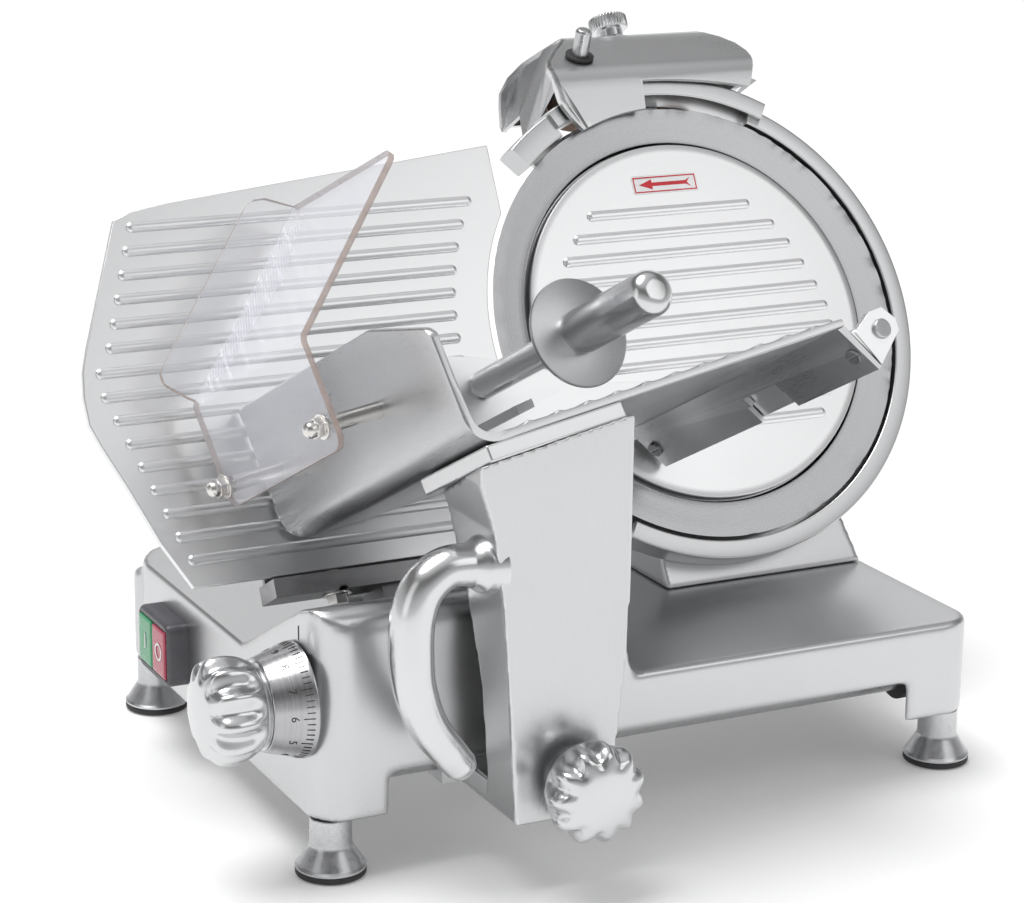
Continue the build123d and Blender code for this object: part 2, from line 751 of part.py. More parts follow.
def clearGuard():
    t = guardThick
    lower = [(guardF, 30), (guardF, foldH + 0.8), (guardF - t, foldH + 2.4), (guardF - t, 30)]
    upper = [lobePoint(0), lobePoint(lobeLong), lobePoint(lobeLong, t), lobePoint(-1.0, t)]
    body = obliquePrism(lower, *guardW) + obliquePrism(upper, *guardW)
    flap = [lobePoint(10, t - 0.5), lobePoint(10, flapWidth), lobePoint(131, flapWidth), lobePoint(149, 22),
            lobePoint(lobeLong, t - 0.5)]
    body += obliquePrism(flap, guardW[0], guardW[0] + t)
    slope = (lobeLong - lobeShort) / (guardW[1] - guardW[0])
    origin = trayPoint(*lobePoint(lobeLong, -20), guardW[0])
    lobeDir = trayAlong * math.cos(lobeLean) + trayUp * math.sin(lobeLean)
    cutter = Plane(origin=origin, x_dir=feed, z_dir=feed.cross(lobeDir))
    wedge = make_face(Polyline((0, 0), (220, -220 * slope), (220, 60), (0, 60), close=True))
    body -= cutter * extrude(wedge, 60, both=True)
    for w, h in studSpots:
        body -= rod(studFrame(w, h), 3.4, 20, 60)
    return body


studSpots = [(27.9, 43.9), (152.8, 45.8)]
studDir = (feed.cross(trayUp)) * -1


def studFrame(w, h):
    "on the tray's left wall, looking out to the left"
    out = studDir if studDir.X < 0 else studDir * -1
    return Plane(origin=trayPoint(0, h, w), x_dir=feed, z_dir=out)


guardGap = -guardF * math.cos(yaw)
keep("clear_guard", clearGuard())
keep("guard_studs", Compound([tube(studFrame(w, h), 5.2, 3.0, 0, guardGap - 0.2) for w, h in studSpots]
                             + [rod(studFrame(w, h), 3.0, 0, guardGap + 10) for w, h in studSpots]))


def guardWasher(w, h):
    near = guardGap + guardThick + 0.2
    return tube(studFrame(w, h), 7.6, 3.0, near, near + 1.6)


def acornNut(w, h):
    frame = studFrame(w, h)
    base = guardGap + guardThick + 1.8
    nut = frame * Pos(0, 0, base) * extrude(RegularPolygon(6.4, 6), 5)
    nut += frame * Pos(0, 0, base + 5) * Cylinder(5, 2, align=(Align.CENTER, Align.CENTER, Align.MIN))
    nut += frame * Pos(0, 0, base + 7) * (Sphere(5) & Pos(0, 0, 5) * Box(20, 20, 10))
    return nut - rod(frame, 3.0, 0, guardGap + 10)


keep("acorn_nuts", Compound([acornNut(w, h) for w, h in studSpots] + [guardWasher(w, h) for w, h in studSpots]))

# ---- pusher ----
pusherW = 48.0
pusherTravel = 100.0
pusherAxisAt = (137.0, 52.8)
pusherOutline = [(20, 15), (14, 30), (16, 56), (34, 72), (64, 79), (96, 80), (122, 77), (138, 72), (153.5, 65),
                 (190, 47), (229, 28), (252, 17.6), (254, 12), (246, 9.5), (225, 12), (205, 17.4), (182, 21),
                 (161, 22), (135, 19), (105, 13.5), (60, 11.5)]
handShaftRadius = 9.2
handDiscRadius = 34.0
handleRadius = 14.0
discAt = 110.0
handleEnd = 196.0


def pusherFrame():
    return feedFrame(*pusherAxisAt, pusherW)


def pusherPlate():
    outline = make_face(Spline(*pusherOutline, periodic=True))
    body = extrude(trayFrame(0, 0, pusherW - 4) * outline, 4 / math.cos(yaw), dir=feed)
    for f in (40, 75, 110, 150, 185):
        frame = trayFrame(f, 30 if f < 160 else 27, pusherW - 4)
        body += frame * Pos(0, 0, -8) * Cone(0.8, 3.2, 8, align=(Align.CENTER, Align.CENTER, Align.MIN))
    return body


def pusherToe():
    return obliquePrism([(118, 23), (130, 24.5), (130, 30), (118, 29)], pusherW, pusherW + 54)


def pusherHinge():
    "sleeve on the guide rod with the flat link that carries the plate"
    sleeve = tube(feedFrame(*lugPin, 0), 10, guideRadius + runClearance, 40, 106)
    link = obliquePrism([(232, 9.5), (287, 9.5), (287, -6), (290, -6), (290, 12.5), (232, 12.5)], 44, 62)
    return sleeve + link - rod(feedFrame(*lugPin, 0), guideRadius + runClearance, 0, 300)


def pusherHandle():
    frame = pusherFrame()
    body = rod(frame, handleRadius, discAt + 3, handleEnd - 8)
    dome = [(0, handleEnd - 8), (handleRadius, handleEnd - 8), (12.6, handleEnd - 3.4), (9, handleEnd - 0.8),
            (0, handleEnd)]
    return body + turned(frame, dome) - rod(frame, 6, 100, 140)


keep("pusher_plate", pusherPlate() + pusherToe() - rod(pusherFrame(), 6, -20, 12))
keep("pusher_hinge", pusherHinge() - pusherPlate())
keep("pusher_rod", rod(pusherFrame(), handShaftRadius, 2.2, discAt) + rod(pusherFrame(), 6, -3, discAt + 28)
     - trayFrame(0, 0, pusherW - 4) * Pos(137, 52, -10) * Box(60, 60, 20))
keep("hand_guard_disc", tube(pusherFrame(), handDiscRadius, 6, discAt, discAt + 3))
keep("pusher_handle", pusherHandle())
keep("pusher_collars", Compound([tube(feedFrame(*lugPin, 0), 9.5, guideRadius + runClearance, a, a + 7)
                                 for a in (32.5, 106.5)]))

# ---- sharpener ----
hoodLeft = -74.0
hoodRight = 72.0
hoodWall = 4.0
hoodOutline = [(10, 134), (10, 177), (-24, 214), (-50, 205), (-62, 186), (-62, 150), (-40, 134)]
hoodInner = [(6, 130), (6, 175.4), (-24.4, 208.6), (-47, 201), (-58, 184), (-58, 130)]
topRun = math.hypot(34, 37)
topNormal = outBlade * (37 / topRun) + upBlade * (34 / topRun)
postU = 7.0
postW = -44.0
postRadius = 6.0
buttonRadius = 5.6
buttonU = -44.0
stoneRadius = 16.0
honeU = 38.0
sharpenerLift = 25.0
buttonTravel = 6.0


def hoodPrism(points, u0, u1):
    "side outline in (out, up) run along u"
    frame = Plane(origin=bladePoint(u0, 0, 0), x_dir=outBlade, z_dir=alongX * -1)
    face = make_face(Polyline(*points, close=True))
    return extrude(frame * face, -(u1 - u0))


def topFrame(u, v=190.0, w=-4.0):
    "square to the hood's sloping top"
    return Plane(origin=bladePoint(u, v, w), x_dir=alongX, z_dir=topNormal)


def postFrame():
    return Plane(origin=bladePoint(postU, 0, postW), x_dir=alongX, z_dir=upBlade)


def sharpenerHood():
    body = hoodPrism(hoodOutline, hoodLeft, hoodRight)
    body -= hoodPrism(hoodInner, hoodLeft + hoodWall, hoodRight - hoodWall)
    body -= rod(bladeFrame(), 174, -80, 5.5)
    body -= rod(bladeFrame(), 148.5, -80, 20)
    body -= localBox(bladeFrame(), -10, 90, 100, 167, 4, 20)
    body -= rod(topFrame(buttonU), 8, -30, 30)
    body += rod(postFrame(), 10, 176, 203)
    body += rod(topFrame(honeU), 3.0, -50, -1) + rod(topFrame(honeU), 7, -6, -1)
    body -= rod(postFrame(), postRadius + runClearance, 170, 199)
    return body - rod(postFrame(), 4.0 + runClearance, 190, 240)


def sharpenerPost():
    bracket = localBox(bladeFrame(), -3, 17, 153, 171, -54, ringBack)
    return bracket + rod(postFrame(), postRadius, 160, 196)


keep("sharpener_hood", sharpenerHood())
keep("sharpener_post", sharpenerPost())
keep("lock_knob", fluted(postFrame(), 13.5, 20, 0.8, 1.8, 224, 234) + rod(postFrame(), 9, 218, 224)
     + rod(postFrame(), 4.0, 199.5, 218))
keep("button_bush", tube(topFrame(buttonU), 8, buttonRadius + runClearance, -3, 1.7)
     + tube(topFrame(buttonU), 9.8, buttonRadius + runClearance, 1.7, 3.6))
keep("push_button", rod(topFrame(buttonU), buttonRadius, -36, 20.5)
     + turned(topFrame(buttonU), [(0, 20.5), (buttonRadius, 20.5), (4.4, 22.2), (0, 23)])
     + rod(topFrame(buttonU), 3.0, -50, -36))
keep("grinding_stone", tube(topFrame(buttonU), stoneRadius, 3.0 + runClearance, -47, -38))
keep("honing_stone", tube(topFrame(honeU), stoneRadius - 1, 3.0 + runClearance, -47, -39))

os.makedirs("parts", exist_ok=True)
for name, shape in parts.items():
    export_step(shape, f"parts/{name}.step")
    print(name, round(shape.volume), len(shape.solids()), shape.is_valid)
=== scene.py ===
import json
import math
import bmesh
import bpy
from mathutils import Matrix, Vector


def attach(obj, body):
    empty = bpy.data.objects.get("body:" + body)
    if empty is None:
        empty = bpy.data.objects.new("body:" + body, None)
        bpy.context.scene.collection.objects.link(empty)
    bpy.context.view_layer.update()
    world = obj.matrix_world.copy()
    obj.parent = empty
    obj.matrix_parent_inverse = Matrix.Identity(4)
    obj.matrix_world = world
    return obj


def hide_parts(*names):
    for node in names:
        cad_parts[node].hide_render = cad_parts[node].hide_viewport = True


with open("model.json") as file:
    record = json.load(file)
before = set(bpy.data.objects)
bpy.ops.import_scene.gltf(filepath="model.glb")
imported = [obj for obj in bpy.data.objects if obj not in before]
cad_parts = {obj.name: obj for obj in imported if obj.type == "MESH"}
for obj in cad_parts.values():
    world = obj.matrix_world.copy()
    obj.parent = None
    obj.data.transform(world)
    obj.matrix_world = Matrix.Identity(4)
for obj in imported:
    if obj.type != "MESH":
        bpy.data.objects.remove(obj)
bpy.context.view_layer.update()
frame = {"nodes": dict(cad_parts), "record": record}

scene = bpy.context.scene
mm = 0.001

# the tilted frames shared with the solid model
tilt = math.radians(29.0)
trayYaw = math.radians(8.3)
trayRoll = math.radians(10.5)
bladeCentre = Vector((131.0, 30.0, 264.0)) * mm
alongX = Vector((1, 0, 0))
upBlade = Vector((0, math.sin(tilt), math.cos(tilt)))
outBlade = Vector((0, -math.cos(tilt), math.sin(tilt)))
feed = alongX * math.sin(trayYaw) + outBlade * math.cos(trayYaw)
trayAlong = alongX * math.cos(trayRoll) + upBlade * math.sin(trayRoll)
trayUp = alongX * -math.sin(trayRoll) + upBlade * math.cos(trayRoll)
trayCorner = (-323.6, -117.5)


def bladeAt(u, v, w):
    return bladeCentre + (alongX * u + upBlade * v + outBlade * w) * mm


def trayAt(f, h, w):
    corner = bladeAt(trayCorner[0] + math.tan(trayYaw) * w, trayCorner[1], w)
    return corner + (trayAlong * f + trayUp * h) * mm


def placeOf(origin, zAxis, xAxis):
    z = zAxis.normalized()
    x = (xAxis - z * xAxis.dot(z)).normalized()
    y = z.cross(x)
    turn = Matrix((x, y, z)).transposed().to_4x4()
    return Matrix.Translation(origin) @ turn @ Matrix.Scale(mm, 4)


bladePlace = placeOf(bladeCentre, outBlade, alongX)


# mesh tools, all in millimetres until a place matrix is applied
def plainMesh(bm, name):
    mesh = bpy.data.meshes.new(name)
    bm.to_mesh(mesh)
    bm.free()
    return mesh


def placed(name, data):
    obj = bpy.data.objects.new(name, data)
    scene.collection.objects.link(obj)
    return obj


# the mesh that a holder's modifiers or its text give, and the holder taken away
def evaluated(holder):
    graph = bpy.context.evaluated_depsgraph_get()
    mesh = bpy.data.meshes.new_from_object(holder.evaluated_get(graph))
    bpy.data.objects.remove(holder)
    return mesh


def toMesh(bm, name="mesh", merge=0.0005):
    bmesh.ops.remove_doubles(bm, verts=bm.verts, dist=merge)
    bmesh.ops.recalc_face_normals(bm, faces=bm.faces)
    return plainMesh(bm, name)


def loft(rings, loop=True, caps=True, closeRound=False):
    bm = bmesh.new()
    rows = [[bm.verts.new(p) for p in ring] for ring in rings]
    count = len(rows[0])
    pairs = list(zip(rows, rows[1:]))
    if closeRound:
        pairs.append((rows[-1], rows[0]))
    for low, high in pairs:
        for i in range(count if loop else count - 1):
            j = (i + 1) % count
            bm.faces.new((low[i], low[j], high[j], high[i]))
    if caps and not closeRound:
        bm.faces.new(list(reversed(rows[0])))
        bm.faces.new(rows[-1])
    return bm


# profile of (radius, height) turned round z; a part turn gets flat ends
def lathe(profile, steps=96, start=0.0, end=360.0):
    full = end - start >= 360
    count = steps if full else steps + 1
    angles = [math.radians(start + (end - start) * k / steps) for k in range(count)]
    rings = [[Vector((r * math.cos(a), r * math.sin(a), z)) for r, z in profile] for a in angles]
    if full:
        closed = abs(profile[0][0]) > 1e-6 and profile[0] != profile[-1]
        bm = loft(rings, loop=closed, caps=False, closeRound=True)
        bmesh.ops.remove_doubles(bm, verts=bm.verts, dist=0.0005)
        return bm
    return loft(rings)


def slab(outline, low, high):
    bm = bmesh.new()
    bottom = [bm.verts.new((x, y, low)) for x, y in outline]
    top = [bm.verts.new((x, y, high)) for x, y in outline]
    count = len(outline)
    bm.faces.new(list(reversed(bottom)))
    bm.faces.new(top)
    for i in range(count):
        j = (i + 1) % count
        bm.faces.new((bottom[i], bottom[j], top[j], top[i]))
    return bm


# replace each corner of a flat outline by an arc
def rounded(outline, radii, steps=6):
    count = len(outline)
    if not isinstance(radii, (list, tuple)):
        radii = [radii] * count
    result = []
    for i, radius in enumerate(radii):
        corner = Vector(outline[i])
        before = Vector(outline[i - 1]) - corner
        after = Vector(outline[(i + 1) % count]) - corner
        if radius <= 0:
            result.append(tuple(corner))
            continue
        half = before.angle(after) / 2
        if half > math.radians(88):
            result.append(tuple(corner))
            continue
        reach = min(radius / math.tan(half), before.length * 0.48, after.length * 0.48)
        a = corner + before.normalized() * reach
        b = corner + after.normalized() * reach
        for k in range(steps + 1):
            t = k / steps
            p = a * (1 - t) ** 2 + corner * (2 * t * (1 - t)) + b * t ** 2
            result.append(tuple(p))
    return result


def joined(*parts):
    total = bmesh.new()
    for part in parts:
        mesh = bpy.data.meshes.new("part")
        part.to_mesh(mesh)
        part.free()
        total.from_mesh(mesh)
        bpy.data.meshes.remove(mesh)
    return total


def moved(bm, matrix):
    bmesh.ops.transform(bm, matrix=matrix, verts=bm.verts)
    return bm


# run modifiers over a mesh and hand back the plain result
def shaped(mesh, *steps):
    holder = placed("holder", mesh)
    for kind, settings in steps:
        mod = holder.modifiers.new(kind.lower(), kind)
        for key, value in settings.items():
            setattr(mod, key, value)
    return evaluated(holder)


# round every crisp edge, then keep the flats flat in the shading
def edgeFinish(mesh, width, segments=3, angle=28):
    bevel = {"width": width * mm, "segments": segments, "limit_method": "ANGLE",
             "angle_limit": math.radians(angle), "miter_outer": "MITER_ARC", "use_clamp_overlap": True}
    mesh = shaped(mesh, ("BEVEL", bevel))
    mesh.shade_smooth()
    return shaped(mesh, ("WEIGHTED_NORMAL", {"keep_sharp": True, "weight": 60}))


# merged copy of solid nodes, with flat areas joined up
def cadCopy(*nodes, flatAngle=0.6):
    bm = bmesh.new()
    for node in nodes:
        bm.from_mesh(frame["nodes"][node].data)
    bmesh.ops.remove_doubles(bm, verts=bm.verts, dist=2e-6)
    bmesh.ops.dissolve_limit(bm, angle_limit=math.radians(flatAngle), verts=bm.verts, edges=bm.edges)
    bmesh.ops.recalc_face_normals(bm, faces=bm.faces)
    mesh = plainMesh(bm, "copy")
    return mesh


# soft edges of a sand or die casting
def castFinish(mesh, voxel, passes, flatAngle=0.9):
    mesh = shaped(mesh, ("REMESH", {"mode": "VOXEL", "voxel_size": voxel * mm, "use_smooth_shade": True}),
                  ("SMOOTH", {"factor": 0.5, "iterations": passes}),
                  ("DECIMATE", {"decimate_type": "DISSOLVE", "angle_limit": math.radians(flatAngle)}),
                  ("TRIANGULATE", {}))
    mesh.shade_smooth()
    return shaped(mesh, ("WEIGHTED_NORMAL", {"keep_sharp": False, "weight": 50}))


def addPiece(name, mesh, body, material, replaced=(), crease=None):
    obj = placed(name, mesh)
    if crease is not None:
        mesh.shade_smooth()
        mesh.set_sharp_from_angle(angle=math.radians(crease))
    if material is not None:
        mesh.materials.clear()
        mesh.materials.append(material)
    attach(obj, body)
    if replaced:
        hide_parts(*replaced)
    return obj


print("stage: materials")

# materials
def node(tree, kind, spot, **values):
    item = tree.nodes.new(kind)
    item.location = spot
    for key, value in values.items():
        if key in item.inputs:
            item.inputs[key].default_value = value
        else:
            setattr(item, key, value)
    return item


def ramp(tree, spot, stops):
    item = tree.nodes.new("ShaderNodeValToRGB")
    item.location = spot
    bar = item.color_ramp
    while len(bar.elements) < len(stops):
        bar.elements.new(0.5)
    for element, (place, colour) in zip(bar.elements, stops):
        element.position = place
        element.color = (*colour, 1.0)
    return item


def mapRange(tree, spot, source, low, high, fromLow=0.0, fromHigh=1.0):
    item = tree.nodes.new("ShaderNodeMapRange")
    item.location = spot
    for key, value in (("From Min", fromLow), ("From Max", fromHigh), ("To Min", low), ("To Max", high)):
        item.inputs[key].default_value = value
    tree.links.new(source, item.inputs["Value"])
    return item.outputs["Result"]


def startMaterial(name):
    material = bpy.data.materials.new(name)
    material.use_nodes = True
    tree = material.node_tree
    return material, tree, tree.nodes["Principled BSDF"]


# object coordinates turned into a frame of the slicer, in metres
def aligned(tree, xAxis, zAxis, origin, spot=(-1500, 0)):
    z = zAxis.normalized()
    x = (xAxis - z * xAxis.dot(z)).normalized()
    turn = Matrix((x, z.cross(x), z))
    euler = turn.to_euler("XYZ")
    shift = -(turn @ origin)
    coords = node(tree, "ShaderNodeTexCoord", (spot[0] - 200, spot[1]))
    mapping = node(tree, "ShaderNodeMapping", spot, Location=shift, Rotation=euler)
    tree.links.new(coords.outputs["Object"], mapping.inputs["Vector"])
    return mapping.outputs["Vector"]


def stretched(tree, vector, scale, spot):
    mapping = node(tree, "ShaderNodeMapping", spot, Scale=scale)
    tree.links.new(vector, mapping.inputs["Vector"])
    return mapping.outputs["Vector"]


def noise(tree, vector, scale, detail, spot, rough=0.55):
    item = node(tree, "ShaderNodeTexNoise", spot, Scale=scale, Detail=detail, Roughness=rough)
    tree.links.new(vector, item.inputs["Vector"])
    return item.outputs["Fac"]


# brushed, blasted or polished metal: colour patches, streaked roughness, fine bump and colour lightened on sharp
# convex edges
def metal(name, look, xAxis=alongX, zAxis=Vector((0, 0, 1)), origin=Vector((0, 0, 0))):
    material, tree, shader = startMaterial(name)
    link = tree.links.new
    vector = aligned(tree, xAxis, zAxis, origin)
    shader.inputs["Metallic"].default_value = look.get("metallic", 1.0)
    grain = noise(tree, stretched(tree, vector, look["stretch"], (-1300, 0)), look["grainScale"], 5, (-1100, 0))
    patch = noise(tree, vector, look["patchScale"], 3, (-1100, -320))
    pits = noise(tree, vector, look["pitScale"], 2, (-1100, -640))
    base, dark = look["colour"], look["darkColour"]
    tint = ramp(tree, (-700, 120), [(0.30, dark), (0.68, base)])
    mixed = node(tree, "ShaderNodeMix", (-900, 120), data_type="FLOAT")
    mixed.inputs[0].default_value = look.get("patchShare", 0.5)
    link(grain, mixed.inputs[2])
    link(patch, mixed.inputs[3])
    link(mixed.outputs[0], tint.inputs["Fac"])
    # colour lightened towards sharp convex edges, read from the mesh's pointiness
    edgeLightening = node(tree, "ShaderNodeNewGeometry", (-900, 420))
    edge = mapRange(tree, (-700, 420), edgeLightening.outputs["Pointiness"], 0.0, look.get("edgeLightening", 0.35), 0.52, 0.60)
    edgeLightened = node(tree, "ShaderNodeMix", (-380, 200), data_type="RGBA")
    edgeLightened.inputs[7].default_value = (*look.get("wearColour", (0.93, 0.93, 0.93)), 1)
    link(edge, edgeLightened.inputs[0])
    link(tint.outputs["Color"], edgeLightened.inputs[6])
    link(edgeLightened.outputs[2], shader.inputs["Base Color"])
    streak = node(tree, "ShaderNodeMix", (-700, -100), data_type="FLOAT")
    streak.inputs[0].default_value = 0.4
    link(grain, streak.inputs[2])
    link(patch, streak.inputs[3])
    low, high = look["rough"]
    link(mapRange(tree, (-380, -60), streak.outputs[0], low, high, 0.3, 0.7), shader.inputs["Roughness"])
    first = node(tree, "ShaderNodeBump", (-500, -420), Strength=look["grainBump"], Distance=0.0004)
    second = node(tree, "ShaderNodeBump", (-250, -420), Strength=look["pitBump"], Distance=0.0004)
    link(grain, first.inputs["Height"])
    link(pits, second.inputs["Height"])
    link(first.outputs["Normal"], second.inputs["Normal"])
    link(second.outputs["Normal"], shader.inputs["Normal"])
    return material


# metal finished on a lathe: rings round the axis of a place matrix, with a painted glint that brightens and darkens
# the base colour twice round that axis
def turnedMetal(name, look, place):
    material, tree, shader = startMaterial(name)
    link = tree.links.new
    rotation = place.to_3x3().normalized()
    vector = aligned(tree, rotation.col[0], rotation.col[2], place.translation)
    shader.inputs["Metallic"].default_value = 1.0
    parts = node(tree, "ShaderNodeSeparateXYZ", (-1300, 0))
    link(vector, parts.inputs[0])
    flat = node(tree, "ShaderNodeCombineXYZ", (-1300, -160))
    link(parts.outputs[0], flat.inputs[0])
    link(parts.outputs[1], flat.inputs[1])
    reach = node(tree, "ShaderNodeVectorMath", (-1120, -160), operation="LENGTH")
    link(flat.outputs[0], reach.inputs[0])
    line = node(tree, "ShaderNodeCombineXYZ", (-940, -160))
    link(reach.outputs["Value"], line.inputs[0])
    link(parts.outputs[2], line.inputs[2])
    rings = noise(tree, line.outputs[0], look["ringScale"], 4, (-760, -160), 0.7)
    # painted glint: a wave that runs twice round the axis, later multiplied into the base colour
    angle = node(tree, "ShaderNodeMath", (-1120, 60), operation="ARCTAN2")
    link(parts.outputs[1], angle.inputs[0])
    link(parts.outputs[0], angle.inputs[1])
    sweep = node(tree, "ShaderNodeMath", (-940, 60), operation="MULTIPLY")
    sweep.inputs[1].default_value = 2.0
    link(angle.outputs[0], sweep.inputs[0])
    paintedGlint = node(tree, "ShaderNodeMath", (-760, 60), operation="SINE")
    link(sweep.outputs[0], paintedGlint.inputs[0])
    patch = noise(tree, vector, look["patchScale"], 3, (-760, -420))
    blend = node(tree, "ShaderNodeMix", (-560, -160), data_type="FLOAT")
    blend.inputs[0].default_value = 0.35
    link(rings, blend.inputs[2])
    link(patch, blend.inputs[3])
    tint = ramp(tree, (-360, 120), [(0.30, look["darkColour"]), (0.70, look["colour"])])
    link(blend.outputs[0], tint.inputs["Fac"])
    # painted glint: the ring colour is multiplied by the wave, so two sectors are painted lighter and two darker, as
    # a stand-in for the reflection on turned metal
    paintedGlintMix = node(tree, "ShaderNodeMix", (-120, 220), data_type="RGBA", blend_type="MULTIPLY")
    paintedGlintMix.inputs[0].default_value = look.get("paintedGlint", 0.0)
    paintedGlintLevel = mapRange(tree, (-360, 380), paintedGlint.outputs[0], 0.62, 1.0, -1.0, 1.0)
    link(tint.outputs["Color"], paintedGlintMix.inputs[6])
    link(paintedGlintLevel, paintedGlintMix.inputs[7])
    link(paintedGlintMix.outputs[2], shader.inputs["Base Color"])
    low, high = look["rough"]
    link(mapRange(tree, (-360, -60), blend.outputs[0], low, high, 0.3, 0.7), shader.inputs["Roughness"])
    bump = node(tree, "ShaderNodeBump", (-250, -420), Strength=look["ringBump"], Distance=0.0004)
    link(rings, bump.inputs["Height"])
    link(bump.outputs["Normal"], shader.inputs["Normal"])
    return material


# plastic or rubber with fine texture and dulled patches
def moulded(name, look):
    material, tree, shader = startMaterial(name)
    link = tree.links.new
    coords = node(tree, "ShaderNodeTexCoord", (-1300, 0))
    fine = noise(tree, coords.outputs["Object"], look["grainScale"], 3, (-1000, -200))
    patch = noise(tree, coords.outputs["Object"], look["patchScale"], 4, (-1000, 100))
    tint = ramp(tree, (-700, 120), [(0.30, look["darkColour"]), (0.70, look["colour"])])
    link(patch, tint.inputs["Fac"])
    link(tint.outputs["Color"], shader.inputs["Base Color"])
    low, high = look["rough"]
    link(mapRange(tree, (-500, -60), patch, low, high, 0.3, 0.7), shader.inputs["Roughness"])
    bump = node(tree, "ShaderNodeBump", (-250, -420), Strength=look["bump"], Distance=0.0005)
    link(fine, bump.inputs["Height"])
    link(bump.outputs["Normal"], shader.inputs["Normal"])
    if "clearCoat" in look:
        shader.inputs["Coat Weight"].default_value = look["clearCoat"]
        shader.inputs["Coat Roughness"].default_value = 0.12
    return material


# clear polycarbonate: nearly invisible face on, brighter towards grazing
def clearSheet(name, look):
    material, tree, shader = startMaterial(name)
    link = tree.links.new
    coords = node(tree, "ShaderNodeTexCoord", (-1300, 0))
    haze = noise(tree, coords.outputs["Object"], look["hazeScale"], 4, (-1000, 100))
    ripple = noise(tree, coords.outputs["Object"], look["rippleScale"], 2, (-1000, -300))
    tint = ramp(tree, (-700, 120), [(0.3, look["darkColour"]), (0.7, look["colour"])])
    link(haze, tint.inputs["Fac"])
    link(tint.outputs["Color"], shader.inputs["Base Color"])
    facing = node(tree, "ShaderNodeLayerWeight", (-1000, 400), Blend=look["edgeBlend"])
    low, high = look["alpha"]
    link(mapRange(tree, (-500, 400), facing.outputs["Facing"], low, high), shader.inputs["Alpha"])
    link(mapRange(tree, (-500, -60), haze, *look["rough"], 0.3, 0.7), shader.inputs["Roughness"])
    bump = node(tree, "ShaderNodeBump", (-250, -420), Strength=look["bump"], Distance=0.0005)
    link(ripple, bump.inputs["Height"])
    link(bump.outputs["Normal"], shader.inputs["Normal"])
    shader.inputs["IOR"].default_value = 1.58
    return material


castLook = {"colour": (0.63, 0.635, 0.64), "darkColour": (0.57, 0.575, 0.58), "rough": (0.26, 0.34),
            "stretch": (1, 1, 1), "grainScale": 1400, "patchScale": 7, "pitScale": 520, "grainBump": 0.06,
            "pitBump": 0.05, "patchShare": 0.6}
plateLook = {"colour": (0.80, 0.805, 0.81), "darkColour": (0.73, 0.735, 0.74), "rough": (0.28, 0.36),
             "stretch": (1, 60, 1), "grainScale": 60, "patchScale": 9, "pitScale": 900, "grainBump": 0.05,
             "pitBump": 0.03, "patchShare": 0.6}
brushedLook = {"colour": (0.58, 0.585, 0.595), "darkColour": (0.47, 0.475, 0.48), "rough": (0.24, 0.36),
               "stretch": (3, 90, 90), "grainScale": 40, "patchScale": 12, "pitScale": 900, "grainBump": 0.12,
               "pitBump": 0.03, "patchShare": 0.35}
polishedLook = {"colour": (0.68, 0.685, 0.69), "darkColour": (0.64, 0.645, 0.65), "rough": (0.19, 0.23),
                "stretch": (1, 1, 1), "grainScale": 900, "patchScale": 8, "pitScale": 600, "grainBump": 0.012,
                "pitBump": 0.012, "patchShare": 0.7, "edgeLightening": 0.15}
brightLook = {"colour": (0.80, 0.78, 0.75), "darkColour": (0.62, 0.60, 0.58), "rough": (0.14, 0.28),
              "stretch": (1, 1, 1), "grainScale": 900, "patchScale": 80, "pitScale": 700, "grainBump": 0.03,
              "pitBump": 0.02}
darkSteelLook = {"colour": (0.30, 0.30, 0.31), "darkColour": (0.18, 0.18, 0.19), "rough": (0.30, 0.48),
                 "stretch": (1, 1, 1), "grainScale": 700, "patchScale": 60, "pitScale": 700, "grainBump": 0.06,
                 "pitBump": 0.03}
bladeLook = {"colour": (0.50, 0.505, 0.515), "darkColour": (0.38, 0.385, 0.395), "rough": (0.22, 0.34),
             "ringScale": 1500, "patchScale": 10, "ringBump": 0.10, "paintedGlint": 0.30}
coverLook = {"colour": (0.84, 0.845, 0.85), "darkColour": (0.79, 0.795, 0.80), "rough": (0.28, 0.36),
             "ringScale": 900, "patchScale": 9, "ringBump": 0.02, "paintedGlint": 0.05}

castMetal = metal("castAluminium", castLook)
plateMetal = metal("anodisedPlate", plateLook, alongX, outBlade, bladeCentre)
trayMetal = metal("brushedTray", brushedLook, feed, trayUp, trayAt(0, 0, 0))
armMetal = metal("brushedArm", {**castLook, "stretch": (160, 160, 3), "grainScale": 30, "grainBump": 0.03,
                                "patchShare": 0.55})
polishedMetal = metal("polishedAluminium", polishedLook)
fastenerMetal = metal("platedFastener", brightLook)
darkMetal = metal("darkSteel", darkSteelLook)
steelMetal = metal("plainSteel", {**brushedLook, "stretch": (1, 1, 1), "grainScale": 300, "grainBump": 0.05})
bladeMetal = turnedMetal("groundBlade", bladeLook, bladePlace)
coverMetal = turnedMetal("spunCover", coverLook, bladePlace)
ringLook = {**coverLook, "colour": (0.66, 0.665, 0.67), "darkColour": (0.56, 0.565, 0.57), "paintedGlint": 0.22}
ringMetal = turnedMetal("turnedRing", ringLook, bladePlace)
rubber = moulded("footRubber", {"colour": (0.035, 0.035, 0.038), "darkColour": (0.02, 0.02, 0.022),
                                "rough": (0.5, 0.75), "grainScale": 1500, "patchScale": 60, "bump": 0.25})
darkPlastic = moulded("mouldedBezel", {"colour": (0.10, 0.10, 0.11), "darkColour": (0.07, 0.07, 0.08),
                                       "rough": (0.32, 0.48), "grainScale": 2200, "patchScale": 50, "bump": 0.12})
greenPlastic = moulded("greenButton", {"colour": (0.02, 0.30, 0.12), "darkColour": (0.015, 0.24, 0.09),
                                       "rough": (0.2, 0.34), "grainScale": 1600, "patchScale": 90, "bump": 0.05,
                                       "clearCoat": 0.4})
